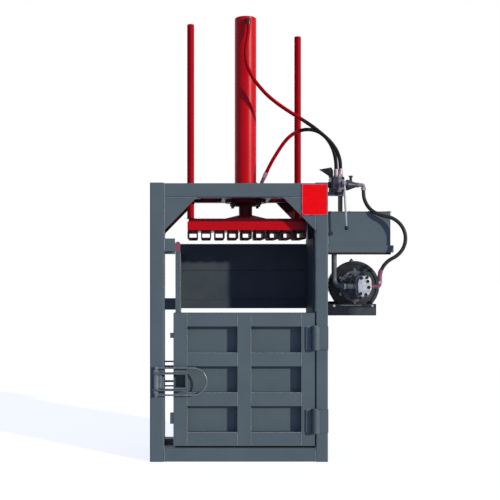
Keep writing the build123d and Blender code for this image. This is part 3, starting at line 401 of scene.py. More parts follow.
class Materials:
    """Builds the procedural materials and hands them out by finish."""

    def __init__(self) -> None:
        """Makes the shared node group and one material for each finish."""
        self._group = surface_group()
        self._finishes: dict[Coat, Finish] = {finish.coat: finish for finish in FINISHES}
        self._made: dict[Coat, bpy.types.Material] = {f.coat: self._paint(f, f.coat.value) for f in FINISHES}

    def __getitem__(self, coat: Coat) -> bpy.types.Material:
        """Returns the material of a finish."""
        return self._made[coat]

    def slot(self, coat: Coat) -> Slot:
        """Returns the record slot of a finish."""
        return self._finishes[coat].slot

    def _surface(self, make: Nodes, finish: Finish, colours: Finish) -> bpy.types.Node:
        """Adds the shared surface to a material.

        Args:
            make: Adds nodes to the material.
            finish: Finish that gives the surface's numbers.
            colours: Finish that gives its colours.

        Returns:
            The group's node.
        """
        inputs = {name.capitalize(): getattr(finish, name) for name in SURFACE_NUMBERS}
        inputs |= {"Colour": (*colours.colour, 1.0), "Second": (*colours.second, 1.0)}
        return make.add("ShaderNodeGroup", inputs, node_tree=self._group)

    def _paint(self, finish: Finish, name: str) -> bpy.types.Material:
        """Builds one material from its description.

        Args:
            finish: The surface description.
            name: Name of the material.

        Returns:
            The material.
        """
        material = bpy.data.materials.new(name)
        material.use_nodes = True
        make = Nodes(material.node_tree)
        surface = self._surface(make, finish, finish)
        surface.name = "surface"
        inputs = {
            "Base Color": surface.outputs["Colour"],
            "Roughness": surface.outputs["Roughness"],
            "Normal": surface.outputs["Normal"],
            "Metallic": finish.metallic,
            "Specular IOR Level": finish.specular,
        }
        make.fill(material.node_tree.nodes["Principled BSDF"], inputs)
        return material

    def two_tone(self, name: str, near: Coat, far: Coat, axis: Axis, change: Pair) -> bpy.types.Material:
        """Builds a finish that changes from one colour to another along an axis, with a ragged edge.

        Args:
            name: Name of the material.
            near: Finish that shows before the change.
            far: Finish whose colours show after it.
            axis: Axis along which it changes.
            change: Where the change starts and ends, metres.

        Returns:
            The material.
        """
        first = self._finishes[near]
        material = self._paint(first, name)
        nodes, make = material.node_tree.nodes, Nodes(material.node_tree)
        wander = (change[1] - change[0]) * EDGE_RAGGED
        place = make.add("ShaderNodeTexCoord").outputs["Object"]
        along = make.add("ShaderNodeSeparateXYZ", {0: place}).outputs[axis]
        ragged = make.maths("MULTIPLY_ADD", make.noise(place, EDGE_SCALE), wander, along)
        share = make.remap(ragged, (change[0] + wander / 2, change[1] + wander / 2))
        second = self._surface(make, first, self._finishes[far])
        colour = make.blend(share, nodes["surface"].outputs["Colour"], second.outputs["Colour"])
        make.fill(nodes["Principled BSDF"], {"Base Color": colour})
        return material


def circle(frame: Matrix, radius: float, sides: int, lift: float = 0.0) -> list[Vector]:
    """Places points round the Z axis of a frame, at a lift along it, with lengths in metres."""
    turns = (2 * math.pi * i / sides for i in range(sides))
    return [frame @ Vector((radius * math.cos(t), radius * math.sin(t), lift)) for t in turns]


class Turned(NamedTuple):
    """A small turned piece, as Shape.lathe takes it, in millimetres."""

    start: Point
    along: Point
    profile: Profile
    sides: int = 32


def show(name: str, data: bpy.types.ID) -> bpy.types.Object:
    """Puts a mesh, a curve, a light or a camera in the scene as an object, and returns it."""
    made = bpy.data.objects.new(name, data)
    bpy.context.scene.collection.objects.link(made)
    return made


def fit(piece: bpy.types.Object, body: Body, slot: Slot, replaces: Sequence[str] = ()) -> None:
    """Makes a piece ride on a body.

    Args:
        piece: Object.
        body: Body that the piece moves with.
        slot: Its record slot; not used.
        replaces: CAD nodes that it stands for.
    """
    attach(piece, body.value)
    if replaces:
        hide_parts(*replaces)


def soften(piece: bpy.types.Object) -> None:
    """Shades a piece smooth except at sharp edges."""
    for polygon in piece.data.polygons:
        polygon.use_smooth = True
    piece.data.set_sharp_from_angle(angle=math.radians(SMOOTH_ANGLE))


@dataclass
class Shape:
    """A piece of geometry that is gathered in one mesh before it becomes an object."""

    name: str
    mesh: bmesh.types.BMesh = field(default_factory=bmesh.new)

    @staticmethod
    def _frame(start: Vector, along: Vector) -> Matrix:
        """Returns the frame that starts at a point and has its Z along a direction."""
        return Matrix.Translation(start) @ along.to_track_quat("Z", "Y").to_matrix().to_4x4()

    def _skin(self, sections: Iterable[Iterable[Vector]], closed: bool = False) -> None:
        """Joins sections with faces and closes the ends.

        Args:
            sections: Rings of points, with as many points in each, metres.
            closed: True if the last section meets the first.
        """
        rings = [[self.mesh.verts.new(point) for point in section] for section in sections]
        pairs = list(zip(rings, rings[1:]))
        if closed:
            pairs.append((rings[-1], rings[0]))
        for one, two in pairs:
            gaps = [(one[0].co - corner.co).length for corner in two]
            count, shift = len(one), gaps.index(min(gaps))
            for k in range(count):
                j = (k + 1) % count
                self.mesh.faces.new((one[k], one[j], two[(j + shift) % count], two[(k + shift) % count]))
        if not closed:
            self.mesh.faces.new(tuple(reversed(rings[0])))
            self.mesh.faces.new(tuple(rings[-1]))

    def lathe(self, start: Point, along: Point, profile: Profile, sides: int = 32) -> None:
        """Adds a turned solid with pairs of distance along its axis and radius, millimetres."""
        frame = self._frame(metres(start), Vector(along))
        self._skin(circle(frame, radius * MM, sides, distance * MM) for distance, radius in profile)

    def plate(self, outline: Sequence[Pair], back: float, front: float, bevel: float) -> None:
        """Adds a plate that faces -Y, with a rounded front edge.

        Args:
            outline: Corners, X and Z in millimetres.
            back: Y of the rear face, millimetres.
            front: Y of the front face, millimetres.
            bevel: Width of the rounded edge, millimetres.
        """
        middle = Vector((sum(x for x, _ in outline), sum(z for _, z in outline))) / len(outline)
        shoulder = bevel * 0.3
        sections = []
        for y, inset in ((back, 0.0), (front + bevel, 0.0), (front + shoulder, shoulder), (front, bevel)):
            flats = [Vector(corner) + (middle - Vector(corner)).normalized() * inset for corner in outline]
            sections.append([metres((flat.x, y, flat.y)) for flat in flats])
        self._skin(sections)

    def block(self, low: Point, high: Point, bevel: float) -> None:
        """Adds a block with softened edges.

        Args:
            low: Lowest corner, millimetres.
            high: Highest corner, millimetres.
            bevel: Width of the softened edges, millimetres.
        """
        centre, size = (metres(low) + metres(high)) / 2, metres(high) - metres(low)
        place = Matrix.Translation(centre) @ Matrix.Diagonal((*size, 1))
        made = bmesh.ops.create_cube(self.mesh, size=1.0, matrix=place)
        edges = list({edge for corner in made["verts"] for edge in corner.link_edges})
        bmesh.ops.bevel(self.mesh, geom=edges, offset=bevel * MM, segments=2, affect="EDGES", profile=0.6)

    def ring(self, centre: Point, axis: Point, major: float, minor: float, sides: int) -> None:
        """Adds a round ring with the radius to its bar's middle and the bar's own, millimetres."""
        self.tube(circle(self._frame(metres(centre), Vector(axis)), major * MM, sides), minor, closed=True)

    def tube(
        self,
        path: Sequence[Vector],
        radius: float,
        closed: bool = False,
        ripple: float = 0.0,
        sides: int = 10,
    ) -> None:
        """Adds a round bar or a weld bead along a path.

        Args:
            path: Points, metres.
            radius: Radius, millimetres.
            closed: True if the path returns to its start.
            ripple: Share of the radius that swells and shrinks from section to section.
            sides: Number of sides.
        """
        count, sections = len(path), []
        for i, point in enumerate(path):
            before = path[i - 1] if closed or i else point
            after = path[(i + 1) % count] if closed or i < count - 1 else point
            frame = self._frame(point, (after - before).normalized())
            sections.append(circle(frame, radius * MM * (1 + ripple * (1 if i % 2 else -1)), sides))
        self._skin(sections, closed)

    def weld(self, *corners: Point, radius: float = 2.4) -> None:
        """Adds a weld bead along straight stretches.

        Args:
            corners: Points that the bead passes, millimetres.
            radius: Radius of the bead, millimetres.
        """
        for start, end in zip(map(metres, corners), map(metres, corners[1:])):
            steps = max(4, int((end - start).length / (BEAD_STEP * MM)))
            path = [
                start.lerp(end, i / steps) + Vector(UP) * BEAD_WANDER * MM * math.sin(i * BEAD_WAVE)
                for i in range(steps + 1)
            ]
            self.tube(path, radius, ripple=BEAD_RIPPLE, sides=BEAD_SIDES)

    def arc_weld(self, centre: Point, axis: Point, around: float, radius: float = 2.6) -> None:
        """Adds a weld bead round a joint.

        Args:
            centre: Centre of the circle, millimetres.
            axis: Axis of the circle.
            around: Radius of the circle, millimetres.
            radius: Radius of the bead, millimetres.
        """
        steps = max(24, int(2 * math.pi * around / BEAD_STEP) // 2 * 2)
        path = circle(self._frame(metres(centre), Vector(axis)), around * MM, steps)
        self.tube(path, radius, closed=True, ripple=BEAD_RIPPLE, sides=BEAD_SIDES)

    def finish(
        self, materials: Materials, coat: Coat, body: Body, replaces: Sequence[str]
    ) -> bpy.types.Object:
        """Turns the gathered mesh into an object that rides on a body.

        Args:
            materials: Material library.
            coat: Finish of the piece.
            body: Body that the piece moves with.
            replaces: CAD nodes that the piece stands for.

        Returns:
            The object.
        """
        bmesh.ops.recalc_face_normals(self.mesh, faces=self.mesh.faces)
        data = bpy.data.meshes.new(self.name)
        self.mesh.to_mesh(data)
        self.mesh.free()
        data.materials.append(materials[coat])
        piece = show(self.name, data)
        soften(piece)
        fit(piece, body, materials.slot(coat), replaces)
        return piece


class BoltRows:
    """Repeats bolt and screw heads over many places with one Geometry Nodes tree."""

    WASHER_SIDES: ClassVar[int] = 24
    WASHER_DEPTH: ClassVar[float] = 1.6
    WASHER_SHARES: ClassVar[Pair] = (2.0, 2.1)
    HEAD_SHARES: ClassVar[Pair] = (1.58, 1.75)

    def __init__(self, materials: Materials) -> None:
        """Keeps the finishes and builds the tree.

        Args:
            materials: Material library.
        """
        self._materials = materials
        self._tree = bpy.data.node_groups.new("bolt_row", "GeometryNodeTree")
        self._sockets = self._declare()
        self._fill()

    def _declare(self) -> dict[str, str]:
        """Adds the tree's inputs and its output.

        Returns:
            The identifiers of the named inputs.
        """
        face = self._tree.interface
        for way in ("INPUT", "OUTPUT"):
            face.new_socket(name="Geometry", in_out=way, socket_type="NodeSocketGeometry")
        kinds = {"Thread Radius": "Float", "Head Height": "Float", "Sides": "Int", "Turn": "Vector"}
        return {
            name: face.new_socket(name=name, in_out="INPUT", socket_type=f"NodeSocket{kind}").identifier
            for name, kind in (*kinds.items(), ("Finish", "Material"))
        }

    def _fill(self) -> None:
        """Fills the tree with a washer and a head at each point."""
        make = Nodes(self._tree)
        given = make.add("NodeGroupInput").outputs
        washer = {"Vertices": self.WASHER_SIDES, "Depth": self.WASHER_DEPTH * MM}
        head = {"Vertices": given["Sides"], "Depth": given["Head Height"]}
        join = make.add("GeometryNodeJoinGeometry")
        for sizes, shares in ((washer, self.WASHER_SHARES), (head, self.HEAD_SHARES)):
            for name, share in zip(("Radius Top", "Radius Bottom"), shares):
                sizes[name] = make.maths("MULTIPLY", given["Thread Radius"], share)
            make.fill(join, {0: make.add("GeometryNodeMeshCone", sizes).outputs["Mesh"]})
        spots = {"Points": given["Geometry"], "Instance": join.outputs[0], "Rotation": given["Turn"]}
        repeat = make.add("GeometryNodeInstanceOnPoints", spots).outputs["Instances"]
        solid = make.add("GeometryNodeRealizeInstances", {"Geometry": repeat}).outputs["Geometry"]
        paint = make.add("GeometryNodeSetMaterial", {"Geometry": solid, "Material": given["Finish"]})
        make.add("NodeGroupOutput", {0: paint.outputs["Geometry"]})

    def place(
        self,
        name: str,
        places: Iterable[Point],
        facing: Point,
        thread: float,
        height: float,
        coat: Coat,
        sides: int = 6,
    ) -> None:
        """Puts a head at each place on the frame.

        Args:
            name: Name of the new piece.
            places: Centres of the seats, millimetres.
            facing: Direction that the heads face.
            thread: Radius of the thread, millimetres.
            height: Height of a head, millimetres.
            coat: Finish of the heads.
            sides: Sides of a head: 6 for a bolt, more for a round screw.
        """
        spots = bpy.data.meshes.new(f"{name}_spots")
        spots.from_pydata([metres(p) for p in places], [], [])
        carrier = show(f"{name}_carrier", spots)
        modifier = carrier.modifiers.new("repeat", "NODES")
        modifier.node_group = self._tree
        values = {
            "Thread Radius": thread * MM,
            "Head Height": height * MM,
            "Sides": sides,
            "Turn": tuple(Vector(facing).to_track_quat("Z", "Y").to_euler()),
            "Finish": self._materials[coat],
        }
        for socket, value in values.items():
            modifier[self._sockets[socket]] = value
        graph = bpy.context.evaluated_depsgraph_get()
        graph.update()
        heads = bpy.data.meshes.new_from_object(carrier.evaluated_get(graph))
        heads.name = name
        bpy.data.objects.remove(carrier)
        piece = show(name, heads)
        soften(piece)
        fit(piece, Body.FRAME, self._materials.slot(coat))
        LOG.info("%s: %d faces on %s", name, len(heads.polygons), Body.FRAME.value)


class Workshop:
    """Hands the CAD nodes, the finishes and the bolts to the sub-assemblies."""

    def __init__(self, nodes: dict[str, bpy.types.Object]) -> None:
        """Makes the finishes and the bolt tree.

        Args:
            nodes: CAD nodes by name.
        """
        self._nodes = nodes
        self.materials = Materials()
        self.bolts = BoltRows(self.materials)

    def wear(self, coat: Coat, names: str) -> None:
        """Gives CAD nodes a finish.

        Args:
            coat: Finish.
            names: Node names, parted by spaces.
        """
        for name in names.split():
            self._cover(name, self.materials[coat], coat)

    def fade(self, name: str, near: Coat, far: Coat, axis: Axis, change: Pair) -> None:
        """Gives a CAD node a finish that changes along an axis between two places, in metres."""
        self._cover(name, self.materials.two_tone(f"{name}_tones", near, far, axis, change), near)

    def add(self, shape: Shape, coat: Coat, body: Body = Body.FRAME, replaces: Sequence[str] = ()) -> None:
        """Finishes a shape on a body, in place of the CAD nodes that it replaces, and logs it."""
        piece = shape.finish(self.materials, coat, body, replaces)
        LOG.info("%s: %d faces on %s", piece.name, len(piece.data.polygons), body.value)

    def _cover(self, name: str, material: bpy.types.Material, coat: Coat) -> None:
        """Puts a material on a CAD node.

        Args:
            name: Node name.
            material: Material.
            coat: Finish that gives the record slot.
        """
        piece = self._nodes[name]
        piece.data.materials.clear()
        piece.data.materials.append(material)
        self.materials.slot(coat).value


@dataclass(frozen=True)
class WeldedFrame:
    """Posts, beams, rails, gussets and the cover plate, in millimetres.

    Attributes:
        face: Distance of the front and rear faces from the middle, with half a bead.
        left: Inner face of the front left post.
        rear_left: Inner face of the rear left post.
        right: Inner face of the right posts.
        crown: Underside and top of the crown beams.
        gap: How far a bead stops short of an end.
        gusset_foot: Lower end of the gussets.
        gusset_reach: Length of the gussets along the crown.
        rails: Tops of the front and of the rear bottom rail.
        sill: Y of the ends of the beads on top of the front rail.
        sill_lift: Height of those beads above the rail.
        tie: Lower and upper end of the side tie's bead.
        tie_shift: Distance of that bead from the left post.
        worn: Lower and upper end of the light beads on the posts' edges, a painted highlight.
        highlight_shift: Distance of those beads from the posts.
        crown_plate: Half width, half depth and foot of the crown plate's corner beads.
        plate: Left, lower, right and upper edge of the cover plate.
        plate_face: Front face of the cover plate.
        gusset_tone: Where the gussets turn from the front's grey to the rear's red paint, darkened to maroon as
            painted shade, metres.
        beam_shade_edge: Where the rear beam turns from dark red, its lower edge painted shade, to light red,
            metres.
    """

    face: float = 240.6
    left: float = -467.0
    rear_left: float = -482.0
    right: float = 382.0
    crown: Pair = (1482.0, 1562.0)
    gap: float = 2.0
    gusset_foot: float = 1296.0
    gusset_reach: float = 182.0
    rails: Pair = (78.0, 50.0)
    sill: Pair = (-160.0, -236.6)
    sill_lift: float = 0.8
    tie: Pair = (1180.0, 1252.0)
    tie_shift: float = 0.6
    worn: Pair = (846.0, 1290.0)
    highlight_shift: float = 1.5
    crown_plate: Point = (140.0, 160.4, 1503.0)
    plate: tuple[float, float, float, float] = (305.0, 1383.0, 445.0, 1554.0)
    plate_face: float = -242.8
    gusset_tone: Pair = (-0.05, 0.05)
    beam_shade_edge: Pair = (1.50, 1.56)

    def dress(self, shop: Workshop) -> None:
        """Paints the frame and runs its welds."""
        shop.wear(
            Coat.GREY,
            "bottom_rail_front bottom_rail_rear bottom_side_rails crown_beam_front crown_side_beams "
            "floor_sleepers guide_carriers hinge_post_leaves post_front_left post_front_right post_rear_left "
            "post_rear_right side_ties",
        )
        shop.wear(Coat.BRIGHT_RED, "cover_plate")
        # Rear gussets wear red paint darkened to maroon as painted shade.
        shop.fade("corner_gussets", Coat.GREY, Coat.MAROON, Axis.Y, self.gusset_tone)
        # Lower edge of the rear beam darkened as painted shade.
        shop.fade("crown_beam_rear", Coat.MAROON, Coat.RED, Axis.Z, self.beam_shade_edge)
        self._front_welds(shop)
        self._rear_welds(shop)
        self._plate_edge(shop)

    def _front_welds(self, shop: Workshop) -> None:
        """Runs the beads that show on the front."""
        beads = Shape("front_welds")
        low, high = self.crown
        rail, y = self.rails[0], -self.face
        for side, corner in ((-1, self.left), (1, self.right)):
            toward = corner - side * self.gusset_reach
            beads.weld((corner, y, self.gusset_foot), (corner, y, high - self.gap), radius=1.9)
            beads.weld((corner, y, low), (toward, y, low), radius=1.5)
            beads.weld((corner, y, self.gap), (corner, y, rail - self.gap), radius=1.9)
            beads.weld(*((corner, end, rail + self.sill_lift) for end in self.sill))
        for x, ends, radius in (
            (self.left + self.tie_shift, self.tie, 2.2),
            # Light beads on the posts' inner edges: painted highlights.
            (self.left - self.highlight_shift, self.worn, 1.3),
            (self.right + self.highlight_shift, self.worn, 1.1),
        ):
            beads.weld(*((x, y, z) for z in ends), radius=radius)
        shop.add(beads, Coat.SEAM)

    def _rear_welds(self, shop: Workshop) -> None:
        """Runs the beads of the back and of the crown plate."""
        beads = Shape("rear_welds")
        high, rail = self.crown[1] - self.gap, self.rails[1] - self.gap
        for corner in (self.rear_left, self.right):
            beads.weld((corner, self.face, self.gusset_foot), (corner, self.face, high), radius=1.9)
            beads.weld((corner, self.face, self.gap), (corner, self.face, rail), radius=1.9)
        width, depth, foot = self.crown_plate
        for y in (-depth, depth):
            for x in (-width, width):
                beads.weld((x, y, foot), (x, y, high))
        shop.add(beads, Coat.GREY)

    def _plate_edge(self, shop: Workshop) -> None:
        """Runs a pale pink bead round the cover plate."""
        edge = Shape("cover_plate_edge")
        west, south, east, north = self.plate
        round_plate = ((west, north), (west, south), (east, south), (east, north), (west, north))
        edge.weld(*((x, self.plate_face, z) for x, z in round_plate), radius=2.6)
        shop.add(edge, Coat.PALE_EDGE)


@dataclass(frozen=True)
class Chamber:
    """Walls, floor and back panel of the bale chamber, in millimetres.

    Attributes:
        lug: Where the left wall's paint ends and its pink lug starts, metres.
        panel: Ends of the back panel's weld seam.
        panel_face: Front face of the back panel.
        seam: Height of that seam.
        wall: X and Y of the left wall's light edge bead, a painted highlight.
        worn: Lower and upper end of that bead.
    """

    lug: Pair = (1.180, 1.184)
    panel: Pair = (-376.0, 372.0)
    panel_face: float = 174.4
    seam: float = 893.0
    wall: Pair = (-380.0, -175.2)
    worn: Pair = (838.0, 1176.0)

    def dress(self, shop: Workshop) -> None:
        """Paints the chamber and runs the back panel's seam and the wall's edge."""
        # The chamber's inside wears the darker grey as painted shade.
        shop.wear(Coat.CHAMBER, "back_panel floor_plate chamber_wall_right")
        shop.fade("chamber_wall_left", Coat.GREY, Coat.OVERSPRAY, Axis.Z, self.lug)
        seam = Shape("back_panel_seam")
        seam.weld(*((x, self.panel_face, self.seam) for x in self.panel), radius=1.6)
        shop.add(seam, Coat.CHAMBER)
        # A light bead on the left wall's front edge: painted highlight.
        edge = Shape("chamber_wall_edge")
        edge.weld(*((*self.wall, z) for z in self.worn), radius=1.6)
        shop.add(edge, Coat.SEAM)


@dataclass(frozen=True)
class Door:
    """A ribbed door with its hinge leaves, in millimetres.

    Attributes:
        body: Body of the door.
        side: -1 for the front and 1 for the rear.
        top: Upper edge.
        foot: Lower edge.
        rail: Height of a rail.
        rails: Number of rails.
        stiles: Edges of the stiles, where the rails are welded on.
        gap: How far a bead stops short of an end.
        drop: How far a pocket's bead stops below the rail above.
        face: Distance of the door's face from the middle, with half a bead.
        levels: Lower ends of the hinge knuckles.
        knuckle: Height of a knuckle.
        leaf: Ends of the door's hinge leaves.
        post_leaf: Ends of the beads on the post's hinge leaves.
        post_face: Distance of those beads from the middle.
    """

    body: Body
    side: int
    top: float
    foot: float = 90.0
    rail: float = 75.0
    rails: int = 4
    stiles: tuple[float, ...] = (-339.0, -56.5, 18.5, 301.0)
    gap: float = 2.0
    drop: float = 3.0
    face: float = 240.5
    levels: tuple[float, ...] = (166.0, 630.0)
    knuckle: float = 129.0
    leaf: Pair = (355.0, 329.5)
    post_leaf: Pair = (404.0, 450.0)
    post_face: float = 240.6

    def dress(self, shop: Workshop) -> None:
        """Paints the door and runs its seams and hinge welds."""
        shop.wear(Coat.GREY, self.body.value)
        seams = Shape(f"{self.body.value}_seams")
        y = self.side * self.face
        pocket = (self.top - self.foot - self.rails * self.rail) / (self.rails - 1)
        for row in range(self.rails):
            low = self.foot + row * (self.rail + pocket)
            sill, head = low + self.rail, low + self.rail + pocket - self.drop
            for x in self.stiles:
                seams.weld((x, y, low + self.gap), (x, y, sill - self.gap), radius=1.3)
            if row < self.rails - 1:
                for west, east in (self.stiles[:2], self.stiles[2:]):
                    seams.weld((west, y, head), (west, y, sill), (east, y, sill), radius=1.5)
        outer, inner = self.leaf
        for low in self.levels:
            high = low + self.knuckle
            seams.weld((outer, y, high), (inner, y, high), (inner, y, low), (outer, y, low), radius=2.0)
        shop.add(seams, Coat.SEAM, self.body)
        post = Shape(f"{self.body.value}_post_welds")
        for low in self.levels:
            for z in (low, low + self.knuckle):
                post.weld(*((x, self.side * self.post_face, z) for x in self.post_leaf), radius=2.0)
        shop.add(post, Coat.GREY)


@dataclass(frozen=True)
class BailLatch:
    """A swinging bail latch, in millimetres.

    Attributes:
        body: Body of the latch.
        door: Body of the door that carries it.
        side: -1 for the front and 1 for the rear.
        pin: X of the pin.
        level: Height of the latch's middle.
        depth: Distance of the pin from the middle of the press.
        reach: Distance of the pin's nuts from the latch's middle.
        washer: Profile of a washer.
        nut_seat: Distance of a nut from its washer's seat.
        nut: Profile of a nut.
        plate: Ends of the plates' beads.
        plate_face: Distance of those beads from the middle of the press.
        plates: Distances of the plates' faces from the latch's middle.
    """

    body: Body
    door: Body
    side: int
    pin: float
    level: float
    depth: float = 262.5
    reach: float = 64.6
    washer: Profile = ((0, 13), (1.6, 13), (1.8, 12))
    nut_seat: float = 6.0
    nut: Profile = ((0, 9.6), (3, 9.6), (4, 8.6))
    plate: Pair = (-412.0, -346.0)
    plate_face: float = 240.6
    plates: Pair = (42.0, 50.0)

    def dress(self, shop: Workshop) -> None:
        """Adds the pin's washers and nuts and the plates' welds."""
        hardware = Shape(f"{self.body.value}_hardware")
        welds = Shape(f"{self.body.value}_plate_welds")
        for end in (-1, 1):
            x, y, z = self.pin, self.side * self.depth, self.level + end * self.reach
            hardware.lathe((x, y, z), (0, 0, end), self.washer, 28)
            hardware.lathe((x, y, z + end * self.nut_seat), (0, 0, end), self.nut, 24)
            for height in self.plates:
                z = self.level + end * height
                welds.weld(*((x, self.side * self.plate_face, z) for x in self.plate), radius=2.0)
        shop.add(hardware, Coat.LATCH, self.body)
        shop.add(welds, Coat.SEAM, self.door)


@dataclass(frozen=True)
class Ram:
    """Cylinder, rod, platen and guide rods, in millimetres.

    Attributes:
        crown_top: Where the barrel leaves the crown.
        barrel: Radius of the barrel.
        plug: End plug on top of the barrel.
        platen: Half width of the platen's beads.
        platen_face: Distance of the platen's front face, with half a bead.
        platen_foot: Underside of the platen's frame.
        rods: Places of the guide rods.
        rod: Radius and height of the beads round the guide rods.
        boss: Radius and height of the bead round the rod's boss.
        crown_shade_edge: Where the crown plate's underside, dark as painted shade, turns to light red, metres.
        platen_shadow_edge: Where the platen's frame turns from light to dark red at its right end, a painted
            shadow, metres.
    """

    crown_top: float = 1504.5
    barrel: float = 65.0
    plug: Turned = Turned((0, 0, 2549.5), UP, ((-2, 40), (0.4, 40), (0.5, 38.5)), 48)
    platen: float = 336.0
    platen_face: float = 160.5
    platen_foot: float = 1300.5
    rods: tuple[Pair, ...] = ((-320.0, -135.0), (320.0, 135.0))
    rod: Pair = (20.5, 1369.5)
    boss: Pair = (123.0, 1369.0)
    crown_shade_edge: Pair = (1.486, 1.500)
    platen_shadow_edge: Pair = (0.270, 0.350)

    def dress(self, shop: Workshop) -> None:
        """Paints the ram and runs its seams."""
        shop.wear(Coat.RED, "cylinder_barrel")
        shop.wear(Coat.ROD, "guide_rods")
        # These pieces wear dark maroon as painted shade.
        shop.wear(Coat.MAROON, "cylinder_flange cylinder_gland piston piston_rod platen_top_plate")
        # The strap channels' near-black maroon is painted shade.
        shop.wear(Coat.CHANNEL, "strap_channels")
        shop.wear(Coat.IRON, "flange_bolts")
        # Underside of the crown plate darkened as painted shade.
        shop.fade("crown_plate", Coat.MAROON, Coat.RED, Axis.Z, self.crown_shade_edge)
        # Right end of the platen's frame darkened as painted shadow.
        shop.fade("platen_frame", Coat.RED, Coat.MAROON, Axis.X, self.platen_shadow_edge)
        self._cylinder_seams(shop)
        self._platen_seams(shop)

    def _cylinder_seams(self, shop: Workshop) -> None:
        """Adds the barrel's foot weld and end plug."""
        seams = Shape("cylinder_seams")
        seams.arc_weld((0, 0, self.crown_top), UP, self.barrel, radius=3.4)
        seams.lathe(*self.plug)
        shop.add(seams, Coat.RED)

    def _platen_seams(self, shop: Workshop) -> None:
        """Runs the beads of the platen and of the rods."""
        seams = Shape("platen_seams")
        for y in (-self.platen_face, self.platen_face):
            seams.weld(*((x, y, self.platen_foot) for x in (-self.platen, self.platen)), radius=1.8)
        around, level = self.rod
        for place in self.rods:
            seams.arc_weld((*place, level), UP, around)
        around, level = self.boss
        seams.arc_weld((0, 0, level), UP, around, radius=3)
        shop.add(seams, Coat.MAROON, Body.PLATEN)


